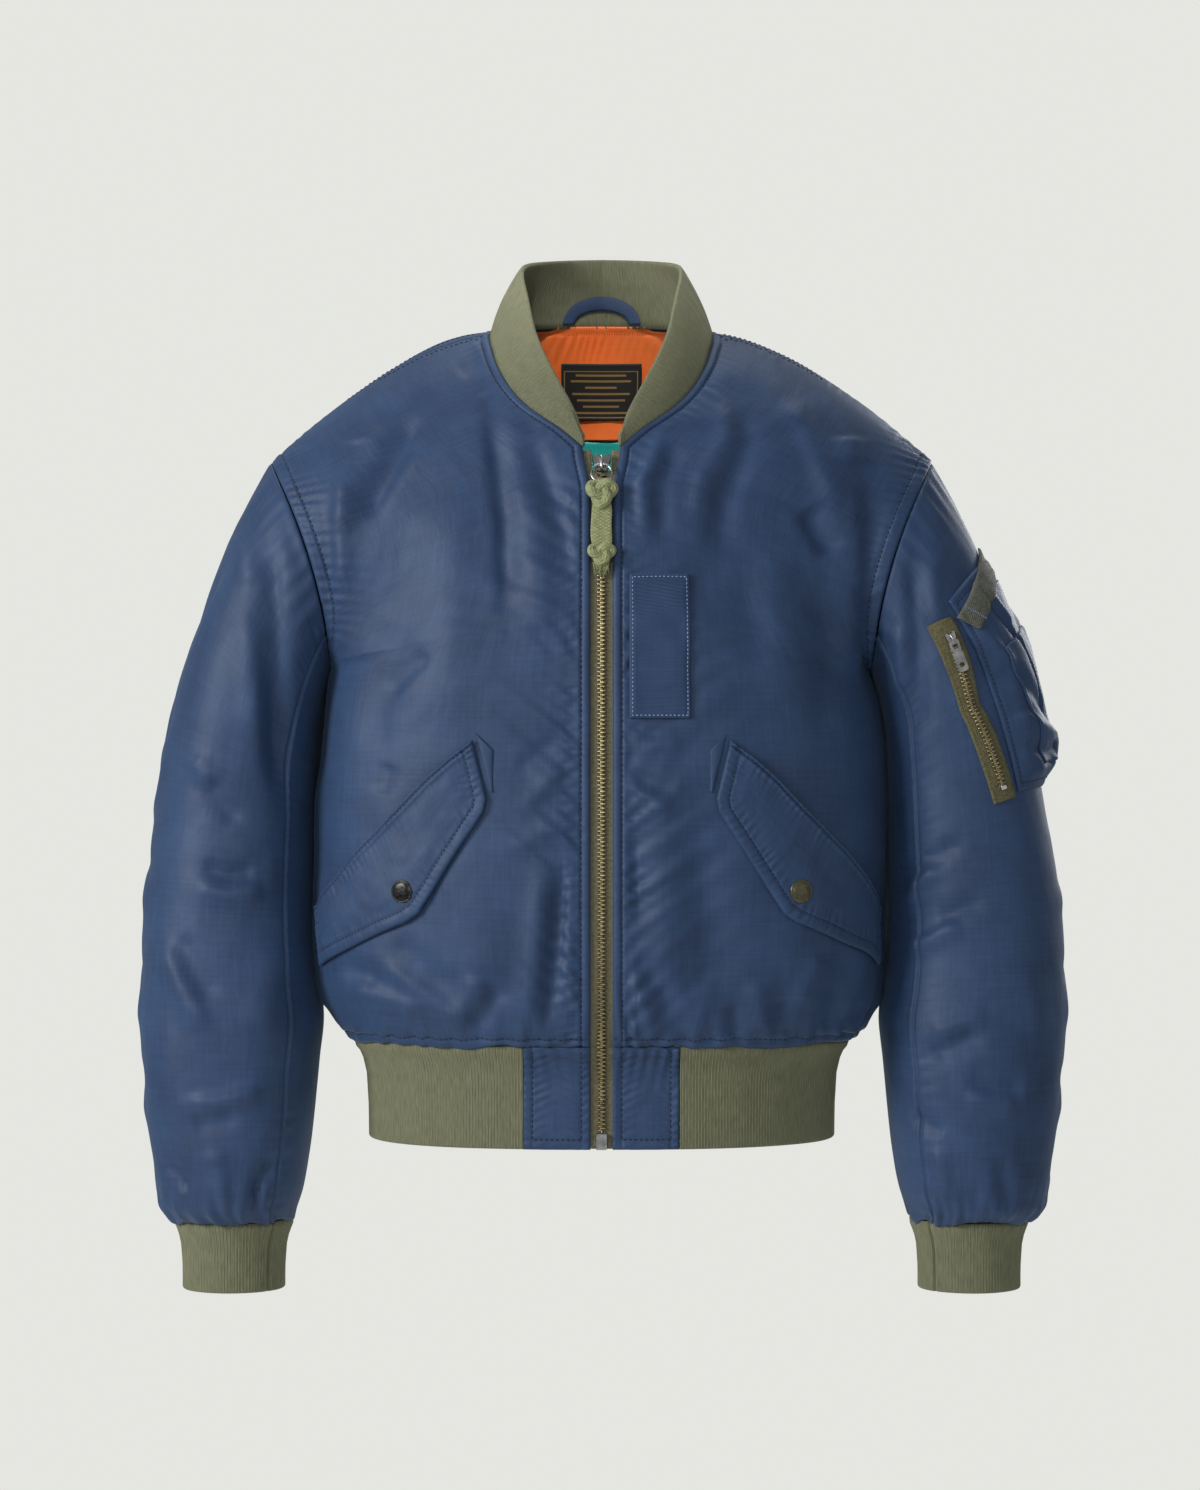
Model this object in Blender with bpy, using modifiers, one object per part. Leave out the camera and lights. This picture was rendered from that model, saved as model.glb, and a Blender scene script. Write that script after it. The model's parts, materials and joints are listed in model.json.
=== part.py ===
"""A bomber jacket, filled out and empty, made piece by piece as a maker cuts and sews it.

The frame is in metres with +Z up. The wearer faces -Y, so the wearer's left is +X. The origin lies
at the base of the neck, midway between the shoulder seams, where the wearer's shoulders carry it.
Tables and distances are in millimetres, and MM turns them into metres.
"""
import math
from collections import namedtuple

import bmesh
import bpy
import numpy as np
from mathutils import Matrix, Vector

MM = 0.001
RIGHT, LEFT = -1, 1          # the wearer's right is -X
FRONT, BACK = -1, 1          # the front is -Y

# Cloth and seams
SHELL = 2.0                  # nylon shell with its thin padding
RIB = 4.0                    # rib knit, doubled
LINING = 1.0
SEAM_GAP = 0.3               # between neighbouring pieces
TURNED_GAP = 1.0             # where the cloth turns at a seam, so that the inner edges stay 0.3 apart
EDGE_STRIP = 2.5             # narrow row of faces along an edge, which keeps the wall square to it

# Main sizes
HEM_SEAM = -563.0            # where the fronts and back end and the waistband starts
HEM_EDGE = -641.0
UNDERARM = -270.0
ZIP_OPENING = 8.4            # from the centre to each front's zip edge
TAB_END = 60.3               # from the centre to the outer end of a waistband tab
SLEEVE_END = -706.0
CUFF_EDGE = -760.0
CUFF_CENTRE = (291.6, -23.0)

Section = namedtuple("Section", "height half_width front back square")
BODY = (
    Section(HEM_SEAM, 196.8, 121, 125, 2.4),
    Section(-556, 206, 126, 132, 2.4),
    Section(-538, 216.5, 132, 139, 2.45),
    Section(-505, 222.5, 136, 141, 2.5),
    Section(-450, 225.5, 137, 141, 2.5),
    Section(-374, 225, 135, 140, 2.5),
    Section(-320, 222, 133, 140, 2.45),
    Section(-290, 218, 132, 140, 2.4),
    Section(UNDERARM, 214, 131, 140, 2.4),
)
WAISTBAND = (
    Section(HEM_EDGE, 185, 113, 117.5, 2.4),
    Section(-604, 186, 113.5, 118, 2.4),
    Section(-580, 189, 114.5, 119.5, 2.4),
    Section(-571, 193, 118, 122, 2.4),
    Section(-567, 196.3, 120.5, 124.5, 2.4),
    Section(HEM_SEAM, 196.3, 120.7, 124.7, 2.4),
)

# The centre lines above the underarm: height, and how far the cloth stands off the middle plane
CENTRE_FRONT = ((UNDERARM, 131), (-215, 127.5), (-165, 118), (-128, 107), (-99, 97))
CENTRE_BACK = ((UNDERARM, 140), (-190, 141), (-120, 136), (-60, 122), (-15, 103), (14, 92))

# The neck from the centre back to the zip: the seam, and the collar's free edge
Neck = namedtuple("Neck", "x y z edge_x edge_y edge_z")
NECK = (
    Neck(0, 92, 14, 0, 84, 70),
    Neck(30, 88, 13.5, 25, 79, 69),
    Neck(60, 70, 11, 47, 60, 65.5),
    Neck(80, 42, 7, 60, 34, 60.5),
    Neck(87, 18, 3, 64, 12, 55),
    Neck(89, 0, -1.5, 64.5, -5, 49),
    Neck(88.5, -14, -8, 63, -20, 39),
    Neck(86, -30, -17, 59.5, -38, 25),
    Neck(81, -50, -32, 53, -60, -3),
    Neck(70, -68, -51.5, 42.5, -77, -29),
    Neck(57, -80, -66, 31, -87, -51),
    Neck(44.5, -88, -75.5, 25, -92, -62),
    Neck(30, -93, -85.5, 19.5, -95.5, -74),
    Neck(14.3, -97, -99, 15, -98.5, -90),
)
COLLAR_HEIGHT = 56.0         # at the centre back
NECK_POINT = 5               # the row where the shoulder seam meets the collar
NECK_STEPS = {FRONT: 8, BACK: 6}   # rows of a front and of the back that end on the neck seam

# Rows between the underarm and the neck, by their height on the centre line; the lining shares the back's
UPPER_ROWS = {FRONT: (-228, -186, -142), BACK: (-235, -200, -163, -122, -99, -76, -50, -18)}
COLUMNS = 11                 # even columns across a panel, between its narrow edge strips

# The armhole is a tilted oval, hollowed towards the body at the front and a little at the back
ARMHOLE_TOP = (264.0, -104.0)
ARMHOLE_BOTTOM = (214.0, -270.0)
ARMHOLE_DEPTH = 78.0
ARMHOLE_HOLLOW = {FRONT: 12.0, BACK: 6.0}

# Rings of a sleeve from the armhole to the cuff: the outer and inner points of each ring, its middle
# and half depth from front to back, and how far its front and back are hollowed towards the body
Ring = namedtuple("Ring", "outer_x outer_z inner_x inner_z middle_y depth hollow square")
SLEEVE = (
    Ring(264, -104, 214, -270, 0, 78, 1.0, 2.0),
    Ring(283, -140, 218.5, -283, 0, 80, 0.5, 2.1),
    Ring(303, -184, 222, -298, 1, 82, 0.2, 2.2),
    Ring(321, -232, 224.7, -316, 2, 83, 0, 2.25),
    Ring(336, -283, 226.8, -338, 3, 83, 0, 2.3),
    Ring(345, -322, 227.6, -362, 4, 83, 0, 2.3),
    Ring(353, -372, 228, -394, 4, 83, 0, 2.3),
    Ring(361, -418, 228.4, -430, 3, 83, 0, 2.3),
    Ring(366, -465, 228.2, -470, 0, 82, 0, 2.3),
    Ring(368, -510, 226, -512, -5, 80, 0, 2.3),
    Ring(368, -545, 221.5, -546, -9, 78, 0, 2.3),
    Ring(366, -580, 224.5, -580, -13, 75, 0, 2.3),
    Ring(362.5, -620, 228, -620, -17, 70, 0, 2.3),
    Ring(357, -655, 232, -655, -20, 65, 0, 2.25),
    Ring(353, -682, 237, -682, -22, 60, 0, 2.2),
    Ring(349, -698, 242, -698, -23, 53, 0, 2.1),
    Ring(340, SLEEVE_END, 244, SLEEVE_END, -23, 43, 0, 2.1),
)
Cuff = namedtuple("Cuff", "height half_width half_depth")
CUFF = (
    Cuff(CUFF_EDGE, 40.5, 36),
    Cuff(-735, 41, 36.5),
    Cuff(-720, 42.5, 38),
    Cuff(-714, 44.5, 40),
    Cuff(SLEEVE_END - 3, 46.5, 41.5),
    Cuff(SLEEVE_END - SEAM_GAP, 46.5, 41.5),
)


def smooth(knots, values, at):
    """Read a smooth curve, through a value at each knot, at one or many places."""
    knots = np.asarray(knots, float)
    values = np.asarray(values, float)
    slopes = np.gradient(values, knots, axis=0)
    first = np.clip(np.searchsorted(knots, at) - 1, 0, len(knots) - 2)
    step = knots[first + 1] - knots[first]
    t = (at - knots[first]) / step
    if values.ndim > 1 and np.ndim(t):
        t = t[:, None]
        step = step[:, None]
    start = (1 + 2 * t) * (1 - t) ** 2 * values[first] + t * (1 - t) ** 2 * step * slopes[first]
    end = t * t * (3 - 2 * t) * values[first + 1] + t * t * (t - 1) * step * slopes[first + 1]
    return start + end


def ease(t):
    """Rise smoothly from 0 to 1."""
    t = np.clip(t, 0, 1)
    return t * t * (3 - 2 * t)


def lengths(points):
    """Distance along a line of points, from its first one."""
    steps = np.linalg.norm(np.diff(points, axis=0), axis=1)
    return np.concatenate(([0], np.cumsum(steps)))


def along(points, distances):
    """Points at the given distances along a line of points."""
    run = lengths(points)
    return np.stack([np.interp(distances, run, points[:, axis]) for axis in range(3)], axis=-1)


def spread(first, last, count, strip=EDGE_STRIP):
    """Evenly spaced distances, with a narrow strip at both ends."""
    inner = np.linspace(first + strip, last - strip, count)
    return np.concatenate(([first], inner, [last]))


def neck_line(face):
    """The neck seam from the centre to the neck point."""
    rows = NECK[NECK_POINT:] if face == FRONT else NECK[:NECK_POINT + 1]
    seam = np.array([(row.x, row.y, row.z) for row in rows], float)
    if face == FRONT:
        seam = seam[::-1]
    run = lengths(seam)
    return smooth(run, seam, np.linspace(0, run[-1], 80))


def centre_line(face):
    """The centre line from the underarm's height up to the neck seam."""
    rows = np.array(CENTRE_FRONT if face == FRONT else CENTRE_BACK, float)
    height = np.linspace(rows[0, 0], rows[-1, 0], 60)
    depth = smooth(rows[:, 0], rows[:, 1], height)
    opening = zip_opening(height) if face == FRONT else np.zeros_like(height)
    return np.stack([opening, face * depth, height], axis=1)


def zip_opening(height):
    """Half the width between the fronts' zip edges, which part in a V at the top."""
    top = NECK[-1]
    return ZIP_OPENING + (top.x - ZIP_OPENING) * ease((height - top.z + 38) / 38)


def armhole(face, angle):
    """A point of the armhole seam; the angle runs from 0 at the shoulder to pi under the arm."""
    top = np.array((ARMHOLE_TOP[0], 0, ARMHOLE_TOP[1]))
    bottom = np.array((ARMHOLE_BOTTOM[0], 0, ARMHOLE_BOTTOM[1]))
    point = (top + bottom) / 2 + (top - bottom) / 2 * math.cos(angle)
    point[0] -= ARMHOLE_HOLLOW[face] * math.sin(angle) ** 2
    point[1] = face * ARMHOLE_DEPTH * math.sin(angle)
    return point


UPPER = {face: np.concatenate((centre_line(face), neck_line(face)[1:])) for face in (FRONT, BACK)}
NECK_SHARE = {face: lengths(centre_line(face))[-1] / lengths(UPPER[face])[-1] for face in (FRONT, BACK)}


def section_row(table, face, height):
    """A level line of cloth from the centre to the side seam, at one height of a table of sections."""
    rows = np.array(table, float)
    half_width, front, back, square = smooth(rows[:, 0], rows[:, 1:], height)
    opening = ZIP_OPENING if face == FRONT else 0
    depth = front if face == FRONT else back
    angle = np.linspace(0, math.pi / 2, 160)
    x = opening + (half_width - opening) * np.sin(angle) ** (2 / square)
    y = face * depth * np.cos(angle) ** (2 / square)
    return np.stack([x, y, np.full_like(x, height)], axis=1)


def body_row(face, v):
    """A line of cloth from the centre to the side: v is 0 at the hem, 1 at the underarm, 2 at the shoulder.
    """
    if v <= 1:
        return section_row(BODY, face, HEM_SEAM + (UNDERARM - HEM_SEAM) * v)
    share = v - 1
    start = along(UPPER[face], share * lengths(UPPER[face])[-1])
    end = armhole(face, math.pi * (1 - share))
    square = BODY[-1].square
    angle = np.linspace(0, math.pi / 2, 160)
    out = np.sin(angle) ** (2 / square)
    rounded = np.cos(angle) ** (2 / square)
    open_side = 1 - out ** 2.2
    fall = rounded + (open_side - rounded) * ease(share / 0.4)
    fullness = {FRONT: 4.0, BACK: 7.0}[face] * math.sin(math.pi * share) * np.sin(math.pi * out ** 1.3)
    x = start[0] + (end[0] - start[0]) * out
    y = end[1] + (start[1] - end[1]) * fall + face * fullness
    z = start[2] + (end[2] - start[2]) * out ** (1 + 0.6 * share)
    return np.stack([x, y, z], axis=1)


def row_at(face, height):
    """The v of the row that starts at this height on the centre line."""
    if height <= UNDERARM:
        return (height - HEM_SEAM) / (UNDERARM - HEM_SEAM)
    line = centre_line(face)
    run = np.interp(height, line[:, 2], lengths(line))
    return 1 + run / lengths(UPPER[face])[-1]


def sleeve_table():
    """The sleeve's rings as numbers, with how far along the sleeve each one's centre lies, from 0 to 1."""
    rows = np.array(SLEEVE, float)
    centres = np.stack([rows[:, 0] + rows[:, 2], rows[:, 4] * 2, rows[:, 1] + rows[:, 3]], axis=1) / 2
    run = lengths(centres)
    return run / run[-1], rows, run[-1]


SLEEVE_KNOTS, SLEEVE_ROWS, SLEEVE_LENGTH = sleeve_table()


def sleeve_point(angle, share):
    """A point of a left sleeve: angle runs from the outer side over the front, share from armhole to cuff."""
    outer_x, outer_z, inner_x, inner_z, middle, depth, hollow, square = smooth(
        SLEEVE_KNOTS, SLEEVE_ROWS, share)
    cosine, sine = math.cos(angle), math.sin(angle)
    across = math.copysign(abs(cosine) ** (2 / square), cosine)
    deep = math.copysign(abs(sine) ** (2 / square), sine)
    face = FRONT if sine > 0 else BACK
    x = (outer_x + inner_x) / 2 + (outer_x - inner_x) / 2 * across
    z = (outer_z + inner_z) / 2 + (outer_z - inner_z) / 2 * across
    return np.array((x - hollow * ARMHOLE_HOLLOW[face] * sine ** 2, middle - depth * deep, z))


def body_point(face, across, v):
    """A point of a left front or of the back's left half, so far across the cloth from its centre edge.

    A negative distance on the back is on its right half.
    """
    if face == FRONT:
        return along(body_row(face, v), np.array([across]))[0]
    point = along(body_row(face, v), np.array([abs(across)]))[0]
    point[0] = math.copysign(point[0], across)
    return point


def lifted(surface, first, second, steps, lift, turn):
    """A point of a surface moved off it along its normal; turn says which way is out."""
    here = surface(first, second)
    first_way = surface(first + steps[0], second) - surface(first - steps[0], second)
    second_way = surface(first, second + steps[1]) - surface(first, second - steps[1])
    normal = np.cross(first_way, second_way) * turn
    return here + normal / np.linalg.norm(normal) * lift


def on_front(across, height, lift):
    """A point over the left front: across the cloth from the zip edge, at a height of the centre line."""
    def surface(distance, level):
        return body_point(FRONT, distance, row_at(FRONT, level))
    return lifted(surface, across, height, (1.0, 1.0), lift, 1)


def on_back(across, v, lift):
    """A point over the back's left half; a negative lift is inside the jacket."""
    def surface(distance, row):
        return body_point(BACK, distance, row)
    return lifted(surface, across, v, (1.0, 0.002), lift, -1)


def on_sleeve(degrees, share, lift):
    """A point over the left sleeve."""
    return lifted(sleeve_point, math.radians(degrees), share, (0.02, 0.004), lift, 1)


def collar_table():
    """The collar's rows as numbers, with how far along the seam each one lies, from 0 to 1."""
    rows = np.array(NECK, float)
    run = lengths(rows[:, :3])
    return run / run[-1], rows


COLLAR_KNOTS, COLLAR_ROWS = collar_table()


def collar_point(share, rise):
    """A point of the collar's outer face: share from the centre back to the zip, rise from seam to edge.

    A negative share is on the wearer's right.
    """
    row = smooth(COLLAR_KNOTS, COLLAR_ROWS, abs(share))
    row[[0, 3]] *= math.copysign(1, share)
    point = row[:3] + (row[3:] - row[:3]) * rise
    outward = np.array((row[0], row[1], 0)) / max(np.hypot(row[0], row[1]), 1)
    height = np.linalg.norm(row[3:] - row[:3])
    return point + outward * 3.0 * math.sin(math.pi * rise) * height / COLLAR_HEIGHT


def on_collar(share, rise, lift):
    """A point off the collar's outer face; a negative lift is inside the neck."""
    return lifted(collar_point, share, rise, (0.004, 0.01), lift, -1)


def front_depth(height):
    """How far the fronts' outer face stands off the middle plane beside the zip."""
    if height > UNDERARM:
        rows = np.array(CENTRE_FRONT, float)
        return float(smooth(rows[:, 0], rows[:, 1], height))
    rows = np.array(WAISTBAND if height < HEM_SEAM else BODY, float)
    return float(smooth(rows[:, 0], rows[:, 2], height))


def front_line(height, lift):
    """A place on the front's centre profile moved off it: y, height, and the way down along the profile."""
    down = np.array((-front_depth(height - 1) + front_depth(height + 1), -2.0))
    down /= np.linalg.norm(down)
    out = np.array((down[1], -down[0]))
    place = np.array((-front_depth(height), height)) + out * lift
    return place, down


# Folds and gathers -----------------------------------------------------------------------------------

# The largest folds: on the fronts and back, x and height of both ends; on the sleeves, degrees and height.
Fold = namedtuple("Fold", "piece start_x start_z end_x end_z width rise")
FOLDS = (
    Fold("front_right", 33, -420, 38, -560, 12, 3.0),
    Fold("front_right", 205, -150, 212, -225, 14, 3.0),
    Fold("front_right", 100, -560, 78, -520, 13, 2.5),
    Fold("front_right", 60, -190, 150, -330, 22, 2.0),
    Fold("front_left", 30, -520, 36, -562, 12, 2.5),
    Fold("front_left", 205, -110, 208, -225, 15, -3.5),
    Fold("front_left", 150, -555, 110, -515, 14, 2.5),
    Fold("front_left", 112, -200, 170, -310, 20, 2.0),
    Fold("back_panel", 80, -150, 175, -300, 26, 2.5),
    Fold("back_panel", 40, -470, 60, -560, 15, 2.5),
    Fold("back_panel", 150, -420, 120, -558, 16, 2.5),
    Fold("sleeve_right", 60, -210, 100, -370, 18, -4.0),
    Fold("sleeve_right", 85, -200, 118, -350, 15, 3.0),
    Fold("sleeve_right", 20, -365, 95, -420, 15, 3.0),
    Fold("sleeve_right", 40, -490, 120, -560, 16, 3.0),
    Fold("sleeve_right", 30, -640, 110, -600, 14, 3.0),
    Fold("sleeve_right", 250, -400, 320, -450, 18, 3.0),
    Fold("sleeve_right", 230, -520, 300, -480, 18, 3.0),
    Fold("sleeve_right", 240, -620, 310, -650, 15, 3.0),
    Fold("sleeve_left", 95, -420, 135, -465, 15, 3.0),
    Fold("sleeve_left", 90, -560, 150, -590, 14, -3.0),
    Fold("sleeve_left", 40, -600, 100, -610, 14, 3.0),
    Fold("sleeve_left", 30, -470, 90, -520, 16, 3.0),
    Fold("sleeve_left", 250, -420, 320, -400, 18, 3.0),
    Fold("sleeve_left", 240, -560, 300, -520, 18, 3.0),
    Fold("sleeve_left", 235, -640, 300, -610, 15, 3.0),
)
SLEEVE_RADIUS = 75.0
WAIST_GATHERS = 5            # on each front, and on each half of the back
SLEEVE_GATHERS = 7


def fold_rise(piece, x, z):
    """How far the folds of a piece lift its cloth at one place."""
    here = np.array((x, z))
    rise = 0.0
    for fold in FOLDS:
        if fold.piece != piece:
            continue
        start = np.array((fold.start_x, fold.start_z), float)
        end = np.array((fold.end_x, fold.end_z), float)
        if piece.startswith("sleeve"):
            start[0] = math.radians(start[0]) * SLEEVE_RADIUS
            end[0] = math.radians(end[0]) * SLEEVE_RADIUS
        way = end - start
        share = np.clip(np.dot(here - start, way) / np.dot(way, way), 0, 1)
        apart = np.linalg.norm(here - start - way * share)
        rise += fold.rise * math.exp(-(apart / fold.width) ** 2)
    return rise


def waist_gathers(across, length, height):
    """How far the gathers over the waistband lift the cloth."""
    above = height - HEM_SEAM
    wave = math.sin(2 * math.pi * WAIST_GATHERS * across / length + 0.8 * math.sin(across / 31))
    return 2.2 * wave * ease(above / 10) * (1 - ease((above - 12) / 55))


def sleeve_gathers(angle, height):
    """How far the gathers over the cuff lift the sleeve's cloth."""
    above = height - SLEEVE_END
    wave = math.sin(SLEEVE_GATHERS * angle + 0.7 * math.sin(2 * angle))
    return 2.4 * wave * ease(above / 8) * (1 - ease((above - 10) / 45))


# Blender objects -------------------------------------------------------------------------------------

MATERIALS = {
    # name: colour in linear light, roughness, metallic
    "navy_nylon": ((0.042, 0.069, 0.147), 0.45, 0.0),
    "olive_rib": ((0.150, 0.162, 0.080), 0.9, 0.0),
    "orange_nylon": ((0.799, 0.127, 0.023), 0.5, 0.0),
    "teal_nylon": ((0.014, 0.275, 0.254), 0.5, 0.0),
    "label_cloth": ((0.010, 0.008, 0.006), 0.8, 0.0),
    "zip_tape": ((0.254, 0.231, 0.136), 0.9, 0.0),
    "brass": ((0.378, 0.275, 0.125), 0.35, 1.0),
    "steel": ((0.262, 0.262, 0.254), 0.3, 1.0),
    "sage_cord": ((0.270, 0.296, 0.138), 0.9, 0.0),
    "grey_webbing": ((0.102, 0.105, 0.080), 0.8, 0.0),
    "snap_dark": ((0.05, 0.048, 0.045), 0.35, 1.0),
    "snap_olive": ((0.13, 0.12, 0.07), 0.35, 1.0),
}


def material(name):
    """Make a material once, and hand out the same one afterwards."""
    if name in bpy.data.materials:
        return bpy.data.materials[name]
    colour, roughness, metallic = MATERIALS[name]
    made = bpy.data.materials.new(name)
    made.use_nodes = True
    shader = made.node_tree.nodes["Principled BSDF"]
    shader.inputs["Base Color"].default_value = (*colour, 1)
    shader.inputs["Roughness"].default_value = roughness
    shader.inputs["Metallic"].default_value = metallic
    return made


def new_object(name, mesh, finish):
    """Put a mesh in the jacket's collection."""
    made = bpy.data.objects.new(name, mesh)
    made.data.materials.append(material(finish))
    jacket.objects.link(made)
    made.parent = root
    return made


def cloth(name, grid, thickness, finish, outward, side=LEFT, mirrored=False, loop=False):
    """A wall of cloth: a grid of points on its outer face, thickened inwards.

    outward is 1 where the grid's rows and columns already turn outwards, and -1 where they don't. A side of
    RIGHT reflects the grid, mirrored adds the other half, and loop closes each row on itself.
    """
    points = np.array(grid) * MM
    points[..., 0] *= side
    rows, columns = points.shape[:2]
    faces = []
    for row in range(rows - 1):
        for column in range(columns if loop else columns - 1):
            beside = (column + 1) % columns
            corners = [row * columns + column, row * columns + beside,
                       (row + 1) * columns + beside, (row + 1) * columns + column]
            faces.append(corners if outward * side > 0 else corners[::-1])
    mesh = bpy.data.meshes.new(name)
    mesh.from_pydata(points.reshape(-1, 3).tolist(), [], faces)
    mesh.shade_smooth()
    made = new_object(name, mesh, finish)
    if mirrored:
        mirror = made.modifiers.new("other_half", "MIRROR")
        mirror.merge_threshold = 0.0001
    wall = made.modifiers.new("wall", "SOLIDIFY")
    wall.thickness = abs(thickness) * MM
    wall.offset = -1 if thickness > 0 else 1
    return made


def neck_rows(face):
    """The rows that end on the neck seam, from the corner at its centre to just before the shoulder seam."""
    rows = np.linspace(1 + NECK_SHARE[face], 2, NECK_STEPS[face] + 1)[:-1]
    if face == BACK:
        rows[0] -= TURNED_GAP / 2 / lengths(UPPER[BACK])[-1]
    return rows


def columns_of(face, v):
    """Distances across a row of a panel: its narrow edge strips and its even columns."""
    length = lengths(body_row(face, v))[-1]
    at_centre = TURNED_GAP / 2 if v >= 1 + NECK_SHARE[face] else 0 if face == BACK else SEAM_GAP / 2
    at_side = SEAM_GAP / 2 if v <= 1 else TURNED_GAP / 2
    return spread(at_centre, length - at_side, COLUMNS)


def body_panel(name, face, side, piece, mirrored=False):
    """A front or the back: rows of cloth from the hem to the shoulder seam."""
    lower = np.linspace(0, 1, 9)
    middle = [row_at(face, height) for height in UPPER_ROWS[face]]
    upper = neck_rows(face)
    hem_step = 1 / (UNDERARM - HEM_SEAM)
    shoulder_step = 1 / 290
    levels = np.concatenate((
        [SEAM_GAP / 2 * hem_step, EDGE_STRIP * hem_step, 9 * hem_step, 20 * hem_step],
        lower[1:], middle, upper,
        [2 - (EDGE_STRIP + TURNED_GAP / 2) * shoulder_step, 2 - TURNED_GAP / 2 * shoulder_step]))
    grid = []
    for v in levels:
        row = body_row(face, v)
        length = lengths(row)[-1]
        places = columns_of(face, v)
        line = []
        for across in places:
            x, y, z = along(row, np.array([across]))[0]
            rise = fold_rise(piece, x, z) + waist_gathers(across, length, z)
            near_edge = min(across - places[0] if face == FRONT else length, places[-1] - across)
            near_top = (2 - v) * 290
            rise *= ease(near_edge / 22) * ease(near_top / 22)
            line.append(lifted(lambda d, r: body_point(face, d, r), across, v, (0.5, 0.002), rise, -face))
        grid.append(line)
    return cloth(name, grid, SHELL, "navy_nylon", -face, side, mirrored)


def sleeve(name, side, piece):
    """A sleeve in one piece, from the armhole to the gathers over the cuff."""
    gap = TURNED_GAP / 2 / SLEEVE_LENGTH
    strip = EDGE_STRIP / SLEEVE_LENGTH
    end_strip = 3.5 / SLEEVE_LENGTH
    shares = np.concatenate(([gap, gap + strip], np.linspace(0.05, 0.95, 15), [0.975, 1 - end_strip, 1]))
    grid = []
    for share in shares:
        line = []
        for angle in np.linspace(0, 2 * math.pi, 22, endpoint=False):
            height = sleeve_point(angle, share)[2]
            rise = fold_rise(piece, angle * SLEEVE_RADIUS, height) * ease((share - gap) / 0.12)
            rise = (rise + sleeve_gathers(angle, height)) * (1 - 0.85 * inner_side(angle))
            line.append(on_sleeve(math.degrees(angle), share, rise))
        grid.append(line)
    return cloth(name, grid, SHELL, "navy_nylon", 1, side, loop=True)


def inner_side(angle):
    """1 where a sleeve faces the body, where it has no room for folds, and 0 away from there."""
    return ease((-math.cos(angle) - 0.72) / 0.2)


def waistband(name, side, first, last, columns, thickness, finish, mirrored=False):
    """A stretch of the waistband between two distances from the front middle, along the cloth."""
    grid = []
    for height in (HEM_EDGE, -600, -577, -567, HEM_SEAM - SEAM_GAP):
        front = section_row(WAISTBAND, FRONT, height)
        back = section_row(WAISTBAND, BACK, height)[::-1]
        line = np.concatenate((front, back[1:]))
        end = lengths(line)[-1] if last is None else last
        grid.append(along(line, np.linspace(first, end, columns)))
    return cloth(name, grid, thickness, finish, 1, side, mirrored)


# Build -----------------------------------------------------------------------------------------------

for old in list(bpy.data.objects):
    bpy.data.objects.remove(old, do_unlink=True)
jacket = bpy.data.collections.new("bomber_jacket")
bpy.context.scene.collection.children.link(jacket)
root = bpy.data.objects.new("neck_base", None)
jacket.objects.link(root)

body_panel("back_panel", BACK, LEFT, "back_panel", mirrored=True)
body_panel("front_panel_left", FRONT, LEFT, "front_left")
body_panel("front_panel_right", FRONT, RIGHT, "front_right")
sleeve("sleeve_left", LEFT, "sleeve_left")
sleeve("sleeve_right", RIGHT, "sleeve_right")

# The waistband and its two tabs; distances are along the cloth from a front's zip edge.
TAB_WIDTH = TAB_END - ZIP_OPENING
waistband("hem_rib", LEFT, TAB_WIDTH + SEAM_GAP, None, 22, RIB, "olive_rib", mirrored=True)
for side, name in ((RIGHT, "hem_tab_right"), (LEFT, "hem_tab_left")):
    waistband(name, side, SEAM_GAP / 2, TAB_WIDTH, 6, SHELL, "navy_nylon")


def collar():
    """The collar: a doubled rib from the centre back to the zip on both sides."""
    neck_point = COLLAR_KNOTS[NECK_POINT]
    behind = np.linspace(0, neck_point, NECK_STEPS[BACK] + 1)
    before = np.linspace(neck_point, 1, NECK_STEPS[FRONT] + 1)
    before = np.concatenate((before[1:-1], [0.972, 0.998]))
    shares = np.concatenate((behind, before))
    grid = []
    for rise in (0, 0.06, 0.35, 0.68, 0.94, 1.0):
        line = []
        for share in shares:
            height = np.linalg.norm(collar_point(share, 1) - collar_point(share, 0))
            first = TURNED_GAP / 2 / height
            line.append(collar_point(share, first + (1 - first) * rise))
        grid.append(line)
    return cloth("collar_rib", grid, RIB, "olive_rib", -1, mirrored=True)


collar()


def cuff(name, side):
    """A cuff: a doubled rib tube below the sleeve's gathers."""
    rows = np.array(CUFF, float)
    grid = []
    for height in (CUFF_EDGE, -738, -721, -713, SLEEVE_END - 3, SLEEVE_END - SEAM_GAP):
        half_width, half_depth = smooth(rows[:, 0], rows[:, 1:], height)
        angles = np.linspace(0, 2 * math.pi, 20, endpoint=False)
        grid.append([(CUFF_CENTRE[0] + half_width * math.cos(angle),
                      CUFF_CENTRE[1] + half_depth * math.sin(angle), height) for angle in angles])
    return cloth(name, grid, RIB, "olive_rib", 1, side, loop=True)


cuff("cuff_left", LEFT)
cuff("cuff_right", RIGHT)


# Sewn on the fronts ----------------------------------------------------------------------------------------
LAID_GAP = 1.1                   # off a panel's curved surface, clear of its flat faces

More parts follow.
